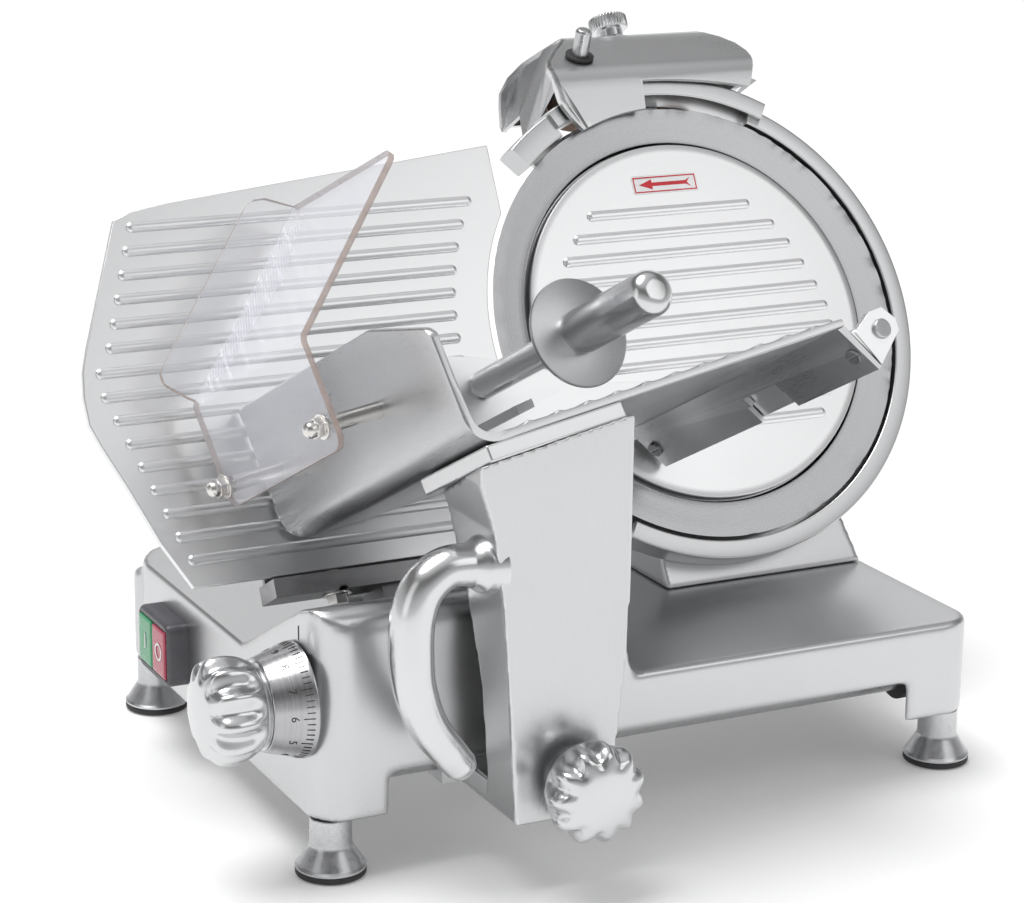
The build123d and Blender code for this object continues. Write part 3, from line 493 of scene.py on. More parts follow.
redPlastic = moulded("redButton", {"colour": (0.42, 0.03, 0.07), "darkColour": (0.34, 0.02, 0.05),
                                   "rough": (0.2, 0.34), "grainScale": 1600, "patchScale": 90, "bump": 0.05,
                                   "clearCoat": 0.4})
paleMark = moulded("paleMark", {"colour": (0.86, 0.86, 0.86), "darkColour": (0.78, 0.78, 0.78),
                                "rough": (0.35, 0.5), "grainScale": 1600, "patchScale": 90, "bump": 0.05})
redMark = moulded("redMark", {"colour": (0.62, 0.03, 0.04), "darkColour": (0.52, 0.02, 0.03),
                              "rough": (0.35, 0.5), "grainScale": 1600, "patchScale": 90, "bump": 0.05})
darkMark = moulded("darkMark", {"colour": (0.03, 0.03, 0.03), "darkColour": (0.02, 0.02, 0.02),
                                "rough": (0.4, 0.6), "grainScale": 1600, "patchScale": 90, "bump": 0.05})
stoneGrit = moulded("bondedGrit", {"colour": (0.42, 0.30, 0.24), "darkColour": (0.30, 0.20, 0.16),
                                   "rough": (0.8, 0.95), "grainScale": 2600, "patchScale": 90, "bump": 0.6})
clearPlastic = clearSheet("clearPolycarbonate", {"colour": (0.86, 0.87, 0.93), "darkColour": (0.78, 0.79, 0.86),
                                                 "alpha": (0.10, 0.50), "edgeBlend": 0.35, "rough": (0.05, 0.12),
                                                 "hazeScale": 20, "rippleScale": 14, "bump": 0.25})
clearEdge = clearSheet("sawnEdge", {"colour": (0.46, 0.36, 0.32), "darkColour": (0.36, 0.28, 0.25),
                                    "alpha": (0.80, 0.92), "edgeBlend": 0.5, "rough": (0.25, 0.45),
                                    "hazeScale": 120, "rippleScale": 700, "bump": 0.15})

print("stage: node trees")


# geometry node trees
def newTree(name, sizes):
    tree = bpy.data.node_groups.new(name, "GeometryNodeTree")
    face = tree.interface
    face.new_socket("Geometry", in_out="INPUT", socket_type="NodeSocketGeometry")
    for label, (kind, value) in sizes.items():
        socket = face.new_socket(label, in_out="INPUT", socket_type=kind)
        if value is not None:
            socket.default_value = value
    face.new_socket("Geometry", in_out="OUTPUT", socket_type="NodeSocketGeometry")
    start = tree.nodes.new("NodeGroupInput")
    end = tree.nodes.new("NodeGroupOutput")
    end.location = (1600, 0)
    return tree, start, end


# every tree ends the same way: instances made real, then the finish
def finishTree(tree, start, end, geometry):
    real = tree.nodes.new("GeometryNodeRealizeInstances")
    finish = tree.nodes.new("GeometryNodeSetMaterial")
    real.location, finish.location = (1200, 0), (1400, 0)
    tree.links.new(geometry, real.inputs[0])
    tree.links.new(real.outputs[0], finish.inputs[0])
    tree.links.new(start.outputs["Material"], finish.inputs["Material"])
    tree.links.new(finish.outputs[0], end.inputs[0])


# run a tree over a mesh with its named inputs set, and return plain geometry
def grown(tree, mesh, **values):
    holder = placed("grower", mesh)
    mod = holder.modifiers.new("grow", "NODES")
    mod.node_group = tree
    for item in tree.interface.items_tree:
        if item.item_type == "SOCKET" and item.in_out == "INPUT" and item.name in values:
            mod[item.identifier] = values[item.name]
    return evaluated(holder)


# a round-ended bar on every edge of the input mesh, flattened towards the plate
def ribTree():
    tree, start, end = newTree("pressedRibs", {"Radius": ("NodeSocketFloat", 0.003),
                                               "Flatten": ("NodeSocketFloat", 0.5),
                                               "Segments": ("NodeSocketInt", 12),
                                               "Material": ("NodeSocketMaterial", None)})
    lines = node(tree, "GeometryNodeMeshToCurve", (0, 0))
    section = node(tree, "GeometryNodeCurvePrimitiveCircle", (0, -200))
    bars = node(tree, "GeometryNodeCurveToMesh", (250, 0))
    tips = node(tree, "GeometryNodeCurveEndpointSelection", (0, -420))
    ball = node(tree, "GeometryNodeMeshUVSphere", (0, -560))
    caps = node(tree, "GeometryNodeInstanceOnPoints", (250, -400))
    both = node(tree, "GeometryNodeJoinGeometry", (500, 0))
    press = node(tree, "GeometryNodeTransform", (750, 0))
    scale = node(tree, "ShaderNodeCombineXYZ", (500, -300))
    smooth = node(tree, "GeometryNodeSetShadeSmooth", (960, 0))
    link = tree.links.new
    link(start.outputs["Geometry"], lines.inputs["Mesh"])
    link(start.outputs["Radius"], section.inputs["Radius"])
    link(start.outputs["Radius"], ball.inputs["Radius"])
    link(start.outputs["Segments"], section.inputs["Resolution"])
    link(start.outputs["Segments"], ball.inputs["Segments"])
    link(start.outputs["Segments"], ball.inputs["Rings"])
    link(lines.outputs[0], bars.inputs["Curve"])
    link(section.outputs[0], bars.inputs["Profile Curve"])
    link(lines.outputs[0], caps.inputs["Points"])
    link(tips.outputs[0], caps.inputs["Selection"])
    link(ball.outputs[0], caps.inputs["Instance"])
    link(bars.outputs[0], both.inputs[0])
    link(caps.outputs[0], both.inputs[0])
    scale.inputs[0].default_value = 1.0
    scale.inputs[1].default_value = 1.0
    link(start.outputs["Flatten"], scale.inputs[2])
    link(both.outputs[0], press.inputs["Geometry"])
    link(scale.outputs[0], press.inputs["Scale"])
    link(press.outputs[0], smooth.inputs["Geometry"])
    finishTree(tree, start, end, smooth.outputs[0])
    return tree


# scoops round a turned knob: each point moves inwards by its own share of the depth
def fluteTree():
    tree, start, end = newTree("flutedKnob", {"Flutes": ("NodeSocketFloat", 12.0),
                                              "Depth": ("NodeSocketFloat", 0.003),
                                              "Sharpness": ("NodeSocketFloat", 1.0),
                                              "Material": ("NodeSocketMaterial", None)})
    link = tree.links.new
    spot = node(tree, "GeometryNodeInputPosition", (0, -200))
    parts = node(tree, "ShaderNodeSeparateXYZ", (150, -200))
    angle = node(tree, "ShaderNodeMath", (300, -200), operation="ARCTAN2")
    turns = node(tree, "ShaderNodeMath", (450, -200), operation="MULTIPLY")
    wave = node(tree, "ShaderNodeMath", (600, -200), operation="COSINE")
    lift = node(tree, "ShaderNodeMath", (750, -200), operation="MULTIPLY_ADD")
    lift.inputs[1].default_value = 0.5
    lift.inputs[2].default_value = 0.5
    power = node(tree, "ShaderNodeMath", (900, -200), operation="POWER")
    share = node(tree, "GeometryNodeInputNamedAttribute", (600, -420), data_type="FLOAT")
    share.inputs["Name"].default_value = "fluteShare"
    amount = node(tree, "ShaderNodeMath", (900, -420), operation="MULTIPLY")
    deep = node(tree, "ShaderNodeMath", (1050, -300), operation="MULTIPLY")
    flat = node(tree, "ShaderNodeCombineXYZ", (450, -600))
    aim = node(tree, "ShaderNodeVectorMath", (600, -600), operation="NORMALIZE")
    push = node(tree, "ShaderNodeVectorMath", (900, -600), operation="SCALE")
    flip = node(tree, "ShaderNodeMath", (1050, -450), operation="MULTIPLY")
    flip.inputs[1].default_value = -1.0
    moveBy = node(tree, "GeometryNodeSetPosition", (1080, 0))
    link(spot.outputs[0], parts.inputs[0])
    link(parts.outputs[1], angle.inputs[0])
    link(parts.outputs[0], angle.inputs[1])
    link(angle.outputs[0], turns.inputs[0])
    link(start.outputs["Flutes"], turns.inputs[1])
    link(turns.outputs[0], wave.inputs[0])
    link(wave.outputs[0], lift.inputs[0])
    link(lift.outputs[0], power.inputs[0])
    link(start.outputs["Sharpness"], power.inputs[1])
    link(share.outputs["Attribute"], amount.inputs[0])
    link(start.outputs["Depth"], amount.inputs[1])
    link(power.outputs[0], deep.inputs[0])
    link(amount.outputs[0], deep.inputs[1])
    link(deep.outputs[0], flip.inputs[0])
    link(parts.outputs[0], flat.inputs[0])
    link(parts.outputs[1], flat.inputs[1])
    link(flat.outputs[0], aim.inputs[0])
    link(aim.outputs[0], push.inputs[0])
    link(flip.outputs[0], push.inputs["Scale"])
    link(start.outputs["Geometry"], moveBy.inputs["Geometry"])
    link(push.outputs[0], moveBy.inputs["Offset"])
    finishTree(tree, start, end, moveBy.outputs[0])
    return tree


# a small pyramid on every point of a grid
def studTree():
    tree, start, end = newTree("raisedDiamonds", {"Size": ("NodeSocketFloat", 0.002),
                                                  "Height": ("NodeSocketFloat", 0.0005),
                                                  "Material": ("NodeSocketMaterial", None)})
    link = tree.links.new
    peak = node(tree, "GeometryNodeMeshCone", (0, -200))
    peak.inputs["Vertices"].default_value = 4
    spread = node(tree, "GeometryNodeInstanceOnPoints", (300, 0))
    link(start.outputs["Size"], peak.inputs["Radius Bottom"])
    link(start.outputs["Height"], peak.inputs["Depth"])
    link(start.outputs["Geometry"], spread.inputs["Points"])
    link(peak.outputs[0], spread.inputs["Instance"])
    finishTree(tree, start, end, spread.outputs[0])
    return tree


# graduation marks: one bar on each point, turned to lie along the point's own direction
def tickTree():
    tree, start, end = newTree("dialTicks", {"Width": ("NodeSocketFloat", 0.0004),
                                             "Length": ("NodeSocketFloat", 0.003),
                                             "Proud": ("NodeSocketFloat", 0.0002),
                                             "Material": ("NodeSocketMaterial", None)})
    link = tree.links.new
    bar = node(tree, "GeometryNodeMeshCube", (0, -200))
    size = node(tree, "ShaderNodeCombineXYZ", (-200, -200))
    away = node(tree, "GeometryNodeInputNamedAttribute", (-200, -420), data_type="FLOAT_VECTOR")
    away.inputs["Name"].default_value = "outward"
    run = node(tree, "GeometryNodeInputNamedAttribute", (-200, -600), data_type="FLOAT_VECTOR")
    run.inputs["Name"].default_value = "slope"
    factor = node(tree, "GeometryNodeInputNamedAttribute", (-200, -780), data_type="FLOAT")
    factor.inputs["Name"].default_value = "stretch"
    face = node(tree, "FunctionNodeAlignRotationToVector", (0, -420), axis="Z")
    lean = node(tree, "FunctionNodeAlignRotationToVector", (180, -420), axis="X", pivot_axis="Z")
    grow = node(tree, "ShaderNodeCombineXYZ", (0, -780))
    grow.inputs[1].default_value = 1.0
    grow.inputs[2].default_value = 1.0
    spread = node(tree, "GeometryNodeInstanceOnPoints", (400, 0))
    link(start.outputs["Length"], size.inputs[0])
    link(start.outputs["Width"], size.inputs[1])
    link(start.outputs["Proud"], size.inputs[2])
    link(size.outputs[0], bar.inputs["Size"])
    link(away.outputs["Attribute"], face.inputs["Vector"])
    link(face.outputs[0], lean.inputs["Rotation"])
    link(run.outputs["Attribute"], lean.inputs["Vector"])
    link(factor.outputs["Attribute"], grow.inputs[0])
    link(start.outputs["Geometry"], spread.inputs["Points"])
    link(bar.outputs[0], spread.inputs["Instance"])
    link(lean.outputs[0], spread.inputs["Rotation"])
    link(grow.outputs[0], spread.inputs["Scale"])
    finishTree(tree, start, end, spread.outputs[0])
    return tree


pressedRibs = ribTree()
flutedKnob = fluteTree()
raisedDiamonds = studTree()
dialTicks = tickTree()

print("stage: castings")


# base, tower and other soft-edged castings
# each casting: grid size and smoothing passes
castSizes = {"base_casting": (2.2, 14), "knife_tower": (1.8, 10), "carriage_arm": (1.5, 6)}
for source, name, body, finish in (("base_casting", "baseBody", "frame", castMetal),
                                   ("knife_tower", "towerBody", "frame", castMetal),
                                   ("carriage_arm", "armBody", "carriage", armMetal)):
    addPiece(name, castFinish(cadCopy(source), *castSizes[source]), body, finish, [source])
addPiece("armTop", edgeFinish(cadCopy("arm_cap"), 1.5), "carriage", armMetal, ["arm_cap"])

print("stage: ring, blade and cover")

# ring guard: three turned lengths with rounded edges, and the pan behind the blade
ringSizes = {"inner": 152.5, "outer": 165.0, "back": -20.0, "front": 1.0, "archInner": 158.5, "archOuter": 171.5,
             "archRise": 3.0, "edge": 1.6, "panThick": 3.5}


def ringSection(inner, outer, back, front, edge):
    corners = [(inner, back), (outer, back), (outer, front), (inner, front)]
    return rounded(corners, edge, 4)


def ringGuard():
    s = ringSizes
    main = ringSection(s["inner"], s["outer"], s["back"], s["front"], s["edge"])
    arch = ringSection(s["archInner"], s["archOuter"], s["back"], s["front"] + s["archRise"], s["edge"])
    wide = ringSection(s["inner"], s["outer"] + 5, s["back"], s["front"], s["edge"])
    step = ringSection(s["inner"], s["archOuter"], s["back"], s["front"], s["edge"])
    pan = [(39, s["back"]), (153, s["back"]), (153, s["back"] + s["panThick"]), (39, s["back"] + s["panThick"])]
    bm = joined(lathe(main, 150, -121, 62), lathe(step, 4, 58.8, 62.1), lathe(arch, 60, 59, 118),
                lathe(wide, 14, 117.9, 131), lathe(pan + pan[:1], 120, -126, 126))
    return toMesh(moved(bm, bladePlace))


addPiece("bladeGuardRing", ringGuard(), "frame", ringMetal, ["ring_guard"], crease=40)

# blade with its hollow-ground bevel
bladeProfile = [(20, -12), (112, -12), (118, -9), (140, -3.9), (146, -2.2), (149.7, -0.25), (150, 0), (149.2, -0.02),
                (141, -1.1), (132, -2.0), (127.4, -2.45), (126.2, -2.8), (125.2, -4.4), (124.6, -6), (20, -6),
                (20, -12)]
addPiece("bladeDisc", toMesh(moved(lathe(bladeProfile, 220), bladePlace)), "knife", bladeMetal,
         ["blade"], crease=18)

# cover plate, its pressed ribs and the turning arrow
coverProfile = [(0, -3.4), (121.6, -3.4), (123.2, -2.6), (123.6, -1.4), (123.6, 0.1), (123.2, 0.8), (122.2, 1.2),
                (118, 1.25), (60, 1.35), (0, 1.4)]
coverRibs = [(-67, 58.6, 77), (-81, 74.5, 61.5), (-92, 83.4, 47), (-100, 90.9, 31.5), (-105, 97.2, 15.5),
             (-106, 101.5, 0.5), (-106, 102.6, -13.5), (-104, 100, -29), (-101, 96, -44), (-96, 90, -59),
             (-86, 80, -74)]
ribLook = {"radius": 3.5, "flatten": 0.62, "segments": 20}


# each line is (left, right, up) in the plate's own plane
def ribMesh(lines, place, height, material):
    bm = bmesh.new()
    for left, right, up in lines:
        a = bm.verts.new((left * mm, up * mm, 0))
        b = bm.verts.new((right * mm, up * mm, 0))
        bm.edges.new((a, b))
    mesh = plainMesh(bm, "ribLines")
    mesh = grown(pressedRibs, mesh, Radius=ribLook["radius"] * mm, Flatten=ribLook["flatten"],
                 Segments=ribLook["segments"], Material=material)
    unscaled = place @ Matrix.Translation((0, 0, height)) @ Matrix.Scale(1 / mm, 4)
    mesh.transform(unscaled)
    return mesh


addPiece("coverPlate", toMesh(moved(lathe(coverProfile, 200), bladePlace)), "frame", coverMetal,
         ["blade_cover"], crease=30)
halfRib = ribLook["radius"]
coverLines = [(u0 + halfRib, u1 - halfRib, v) for u0, u1, v in coverRibs]
addPiece("coverPressedRibs", ribMesh(coverLines, bladePlace, 1.5, coverMetal), "frame", None)

arrowSizes = {"left": -28.0, "right": 22.0, "low": 89.5, "high": 102.5, "lift": 1.3, "thick": 0.15}


def arrowLabel():
    s = arrowSizes
    width, high = s["right"] - s["left"], s["high"] - s["low"]
    plate = [(0, 0), (width, 0), (width, high), (0, high)]
    mid = high / 2
    arrow = [(5, mid), (15, mid + 3.6), (15, mid + 1.3), (width - 9, mid + 1.3), (width - 5, mid + 3.4),
             (width - 8, mid), (width - 5, mid - 3.4), (width - 9, mid - 1.3), (15, mid - 1.3), (15, mid - 3.6)]
    place = bladePlace @ Matrix.Translation((s["left"], s["low"], s["lift"]))
    base = slab(rounded(plate, 1.0), 0, s["thick"])
    edges = []
    for x0, x1, y0, y1 in ((1, width - 1, 1, 1.9), (1, width - 1, high - 1.9, high - 1), (1, 1.9, 1, high - 1),
                           (width - 1.9, width - 1, 1, high - 1)):
        edges.append(slab([(x0, y0), (x1, y0), (x1, y1), (x0, y1)], s["thick"], s["thick"] + 0.06))
    marks = joined(slab(arrow, s["thick"], s["thick"] + 0.06), *edges)
    return toMesh(moved(base, place)), toMesh(moved(marks, place))


labelBase, labelMarks = arrowLabel()
addPiece("turnLabel", labelBase, "frame", paleMark)
addPiece("turnArrow", labelMarks, "frame", redMark)

# gauge plate with its ribs
gaugeOutline = [(-392.7, 100.7), (-380.9, 105.2), (-355.3, 109.3), (-265.5, 118.5), (-128, 132.6)]
gaugeLeftEdge = [(-385.5, -134.8), (-401.1, -104.9), (-414.7, -69.7), (-426.5, -42.3), (-431.8, -27.4),
                 (-432.1, -9.7), (-429.7, 6.5), (-424.6, 21.2)]
gaugeSizes = {"thick": 5.0, "bladeGap": 153.5, "cut": -128.0, "bottom": -134.0, "ribTop": 95.0, "ribPitch": 15.2,
              "ribs": 15, "reach": 176.0, "margin": 8.0}


def gaugeShape():
    s = gaugeSizes
    arc = []
    limit = math.acos(s["cut"] / s["bladeGap"])
    for k in range(41):
        a = limit + (2 * math.pi - 2 * limit) * k / 40
        arc.append((s["bladeGap"] * math.cos(a), s["bladeGap"] * math.sin(a)))
    return gaugeOutline + arc + [(s["cut"], s["bottom"])] + gaugeLeftEdge


def gaugeLeftAt(v):
    if v > 10:
        return -424 + (v - 10) * 0.36 + gaugeSizes["margin"]
    return -430 + max(0.0, -v - 10) * 0.33 + gaugeSizes["margin"]


gaugeMesh = toMesh(moved(slab(gaugeShape(), -gaugeSizes["thick"], 0), bladePlace))
gaugeMesh = edgeFinish(gaugeMesh, 0.9, 3, 50)
addPiece("gaugeBody", gaugeMesh, "gauge", plateMetal, ["gauge_plate"])
gaugeLines = []
for k in range(gaugeSizes["ribs"]):
    height = gaugeSizes["ribTop"] - gaugeSizes["ribPitch"] * k
    right = -math.sqrt(gaugeSizes["reach"] ** 2 - height ** 2)
    gaugeLines.append((gaugeLeftAt(height) + halfRib, right - halfRib, height))
addPiece("gaugePressedRibs", ribMesh(gaugeLines, bladePlace, 0.1, plateMetal), "gauge", None)

print("stage: tray")

# tray: one bent sheet run along the feed, its floor ribbed
traySizes = {"far": 7.0, "near": 228.0, "length": 258.0, "thick": 5.0, "wall": 89.5, "wallNear": 72.0,
             "slopeFrom": 171.0, "bend": 18.0, "ribFirst": 38.0, "ribPitch": 20.0, "ribHalf": 4.5, "ribHigh": 1.2,
             "rows": 70, "stationRound": 3.0}


def trayFloorRise(f):
    s = traySizes
    k = round((f - s["ribFirst"]) / s["ribPitch"])
    if k < 0 or k > 10:
        return 0.0
    away = abs(f - s["ribFirst"] - s["ribPitch"] * k)
    return s["ribHigh"] * (0.5 + 0.5 * math.cos(math.pi * min(1.0, away / s["ribHalf"])))


# closed outline of the sheet: inner side from the wall's top to the floor's end, then back along the outside
def traySection():
    s = traySizes
    bendIn = s["bend"] - s["thick"]
    inner = [(s["thick"] - 0.8, s["wall"] - 0.2), (s["thick"], s["wall"] - 1.2), (s["thick"], 70), (s["thick"], 40)]
    for k in range(9):
        a = math.pi + (math.pi / 2) * k / 8
        inner.append((s["bend"] + bendIn * math.cos(a), s["bend"] + bendIn * math.sin(a)))
    f = 26.0
    while f < s["length"] - 3:
        inner.append((f, s["thick"] + trayFloorRise(f)))
        f += 1.5
    inner += [(s["length"] - 1, s["thick"]), (s["length"], s["thick"] - 1)]
    outer = [(s["length"], 1), (s["length"] - 1, 0), (150, 0), (60, 0)]
    for k in range(11):
        a = -math.pi / 2 - (math.pi / 2) * k / 10
        outer.append((s["bend"] + s["bend"] * math.cos(a), s["bend"] + s["bend"] * math.sin(a)))
    outer += [(0, 40), (0, 70), (0, s["wall"] - 1.2), (0.8, s["wall"] - 0.2), (s["thick"] / 2, s["wall"])]
    return inner + outer


def wallTopAt(w):
    s = traySizes
    if w <= s["slopeFrom"]:
        return s["wall"]
    t = (w - s["slopeFrom"]) / (s["near"] - s["slopeFrom"])
    return s["wall"] + (s["wallNear"] - s["wall"]) * t


def trayMesh():
    s = traySizes
    section = traySection()
    stations = [s["far"] + 0.8 * k / 3 for k in range(3)]
    stations += [s["far"] + 1.0 + (s["near"] - s["far"] - 2.0) * k / s["rows"] for k in range(s["rows"] + 1)]
    stations += [s["near"] - 0.6, s["near"] - 0.2, s["near"]]
    rings = []
    for w in stations:
        end = min(w - s["far"], s["near"] - w)
        inset = max(0.0, 0.9 - math.sqrt(max(0.0, 0.81 - (0.9 - min(0.9, end)) ** 2)))
        top = wallTopAt(w)
        if s["near"] - w < s["stationRound"] * 2:
            t = 1 - (s["near"] - w) / (s["stationRound"] * 2)
            top -= s["stationRound"] * (1 - math.sqrt(max(0.0, 1 - t * t))) * 2
        ring = []
        for f, h in section:
            if h > 40:
                h = 40 + (h - 40) * (top - 40) / (s["wall"] - 40)
            if inset > 0:
                h2 = h + (inset if h < 1 and f > 20 else (-inset if 4 < h < 8 and f > 20 else 0))
                f2 = f + (inset if f < 1 else (-inset if 4 < f < 6 and h > 20 else 0))
                f, h = f2, h2
            ring.append(trayAt(f, h, w))
        rings.append(ring)
    return toMesh(loft(rings), merge=1e-6)


addPiece("trayBody", trayMesh(), "carriage", trayMetal, ["meat_tray"], crease=35)
addPiece("traySkirtPlate", edgeFinish(cadCopy("tray_skirt"), 0.7), "carriage", trayMetal,
         ["tray_skirt"])
addPiece("traySkirtScrews", edgeFinish(cadCopy("skirt_screws"), 0.35), "carriage", darkMetal,
         ["skirt_screws"])
addPiece("rodBracketPlate", edgeFinish(cadCopy("rod_bracket"), 1.6), "carriage", plateMetal,
         ["rod_bracket"])
addPiece("pusherRail", edgeFinish(cadCopy("pusher_guide_rod"), 0.8), "carriage", steelMetal,
         ["pusher_guide_rod"])

print("stage: clear guard")

# clear hand guard: a bent sheet, with a flap folded along its far side
guardSizes = {"plane": -37.0, "bottom": 30.0, "fold": 96.5, "far": 29.0, "near": 168.0, "lean": 42.5,
              "long": 150.0, "short": 136.0, "thick": 4.0, "foldRadius": 7.0, "tipRound": 13.0, "footRound": 9.0,
              "flap": 28.0, "columns": 56}


# s runs up the leaning leaf, lift stands square to it
def guardPoint(s, lift, w):
    g = guardSizes
    lean = math.radians(g["lean"])
    return trayAt(g["plane"] + s * math.cos(lean) - lift * math.sin(lean),
                  g["fold"] + s * math.sin(lean) + lift * math.cos(lean), w)


def cornerDrop(edge, radius):
    return radius - math.sqrt(max(0.0, radius ** 2 - (radius - min(edge, radius)) ** 2))


# points from the bottom edge, round the fold and up the leaf
def guardColumn(w):
    g = guardSizes
    nearEdge, farEdge = g["near"] - w, w - g["far"]
    bottom = g["bottom"] + cornerDrop(nearEdge, g["footRound"]) + cornerDrop(farEdge, g["footRound"])
    share = farEdge / (g["near"] - g["far"])
    top = g["long"] + (g["short"] - g["long"]) * share - cornerDrop(nearEdge, g["tipRound"])
    reach = g["foldRadius"] * math.tan(math.radians((90 - g["lean"]) / 2))
    start = g["fold"] - reach
    points = [trayAt(g["plane"], bottom + (start - bottom) * k / 14, w) for k in range(15)]
    middle = trayAt(g["plane"], g["fold"], w)
    first, last = points[-1], guardPoint(reach, 0, w)
    for k in range(1, 6):
        t = k / 6
        points.append(first * (1 - t) ** 2 + middle * (2 * t * (1 - t)) + last * t ** 2)
    points += [guardPoint(reach + (top - reach) * k / 30, 0, w) for k in range(31)]
    return points


def guardSheet():
    g = guardSizes
    bm = bmesh.new()
    stations = []
    for k in range(g["columns"] + 1):
        t = 0.5 - 0.5 * math.cos(math.pi * k / g["columns"])
        stations.append(g["far"] + (g["near"] - g["far"]) * t)
    rows = [[bm.verts.new(p) for p in guardColumn(w)] for w in stations]
    for a, b in zip(rows, rows[1:]):
        for i in range(len(a) - 1):
            bm.faces.new((a[i], b[i], b[i + 1], a[i + 1]))
    leaf = rows[0][20:]
    outline = rounded([(0, 0), (0, g["flap"]), (g["long"] - 6, g["flap"]), (g["long"], 0)], [0, 9, 20, 0], 10)
    previous = leaf
    count = len(leaf)
    ends = []
    for i in range(count):
        s = g["long"] * i / (count - 1)
        ends.append(flapHeight(outline, min(max(s, 0.4), g["long"] - 0.4)))
    for level in range(1, 9):
        line = []
        for i, vert in enumerate(leaf):
            lift = ends[i] * level / 8
            offset = guardPoint(0, lift, g["far"]) - guardPoint(0, 0, g["far"])
            slip = feed * (-2.2 * mm) * min(1.0, lift / 6)
            line.append(bm.verts.new(vert.co + offset + slip))
        for i in range(count - 1):
            bm.faces.new((previous[i], previous[i + 1], line[i + 1], line[i]))
        previous = line
    bmesh.ops.recalc_face_normals(bm, faces=bm.faces)
    mesh = plainMesh(bm, "guardSheet")
    mesh.materials.append(clearPlastic)
    mesh.materials.append(clearEdge)
    mesh.shade_smooth()
    return shaped(mesh, ("SOLIDIFY", {"thickness": g["thick"] * mm, "offset": 0.0, "use_even_offset": True,
                                      "material_offset_rim": 1}),
                  ("BEVEL", {"width": 0.5 * mm, "segments": 2, "limit_method": "ANGLE",
                             "angle_limit": math.radians(50)}))


def flapHeight(outline, s):
    best = 0.0
    for (s0, h0), (s1, h1) in zip(outline, outline[1:] + outline[:1]):
        if (s0 - s) * (s1 - s) <= 0 and abs(s1 - s0) > 1e-6:
            best = max(best, h0 + (h1 - h0) * (s - s0) / (s1 - s0))
    return max(best, 0.6)


guard = addPiece("clearHandGuard", guardSheet(), "carriage", None, ["clear_guard"], crease=40)

diamondSizes = {"from": 12.0, "to": 122.0, "far": 36.0, "near": 84.0, "pitch": 3.6, "size": 1.5, "height": 0.45}


# points in a skewed grid on the leaf, drawn flat and then laid on it
def diamondBand():
    d = diamondSizes
    bm = bmesh.new()
    row = 0
    s = d["from"]
    while s < d["to"]:
        w = d["far"] + (d["pitch"] / 2 if row % 2 else 0)
        limit = d["near"] - 22 * abs(s - 70) / 60
        while w < limit:
            bm.verts.new((s * mm, w * mm, 0))
            w += d["pitch"]
        s += d["pitch"] / 2
        row += 1
    mesh = plainMesh(bm, "diamondPoints")
    mesh = grown(raisedDiamonds, mesh, Size=d["size"] * mm, Height=d["height"] * mm, Material=clearPlastic)
    lift = guardSizes["thick"] / 2 + 0.02
    for vert in mesh.vertices:
        s, w, z = vert.co / mm
        vert.co = guardPoint(s, lift + z, w)
    return mesh


addPiece("guardDiamonds", diamondBand(), "carriage", None)
addPiece("guardPosts", edgeFinish(cadCopy("guard_studs"), 0.25), "carriage", fastenerMetal,
         ["guard_studs"])
addPiece("guardNuts", edgeFinish(cadCopy("acorn_nuts"), 0.3, 2, 24), "carriage", fastenerMetal,
         ["acorn_nuts"])

print("stage: pusher")

# pusher: plate, rod, disc and domed handle
pusherAt = trayAt(137.0, 52.8, 48.0)
pusherPlace = placeOf(pusherAt, feed, trayUp.cross(feed))
pusherSizes = {"rod": 9.2, "rodStart": 2.2, "disc": 34.0, "discAt": 110.0, "discThick": 3.0, "handle": 14.0,
               "handleEnd": 196.0}


def pusherTurning():
    s = pusherSizes
    rod = [(0, s["rodStart"]), (s["rod"] - 0.8, s["rodStart"]), (s["rod"], s["rodStart"] + 0.8),
           (s["rod"], s["discAt"]), (0, s["discAt"])]
    d0, d1, r = s["discAt"], s["discAt"] + s["discThick"], s["disc"]
    disc = [(0, d0), (r - 1.2, d0), (r - 0.35, d0 + 0.35), (r, d0 + 1.2), (r, d1 - 1.2), (r - 0.35, d1 - 0.35),
            (r - 1.2, d1), (0, d1)]
    h, end = s["handle"], s["handleEnd"]
    grip = [(0, d1), (h - 1.4, d1), (h - 1.2, d1 + 3), (h, d1 + 5), (h, end - 11)]
    for k in range(1, 10):
        a = math.radians(90 * k / 9)
        grip.append((h - 9 + 9 * math.cos(a), end - 9 + 9 * math.sin(a)))
    grip.append((0, end + 0.0))
    return rod, disc, grip


rodLine, discLine, gripLine = pusherTurning()
addPiece("pusherShaft", toMesh(moved(lathe(rodLine, 64), pusherPlace)), "pusher", polishedMetal,
         ["pusher_rod"], crease=35)
addPiece("pusherDisc", toMesh(moved(lathe(discLine, 120), pusherPlace)), "pusher", trayMetal,
         ["hand_guard_disc"], crease=35)
addPiece("pusherHandle", toMesh(moved(lathe(gripLine, 96), pusherPlace)), "pusher", polishedMetal,
         ["pusher_handle"], crease=35)
addPiece("pusherBlade", edgeFinish(cadCopy("pusher_plate"), 0.8, 2, 30), "pusher", plateMetal,
         ["pusher_plate"])
addPiece("pusherArm", edgeFinish(cadCopy("pusher_hinge"), 0.9, 2, 30), "pusher", castMetal,
         ["pusher_hinge"])
addPiece("railCollars", edgeFinish(cadCopy("pusher_collars"), 0.6, 2, 30), "pusher_slider", steelMetal,
         ["pusher_collars"])

print("stage: knobs")


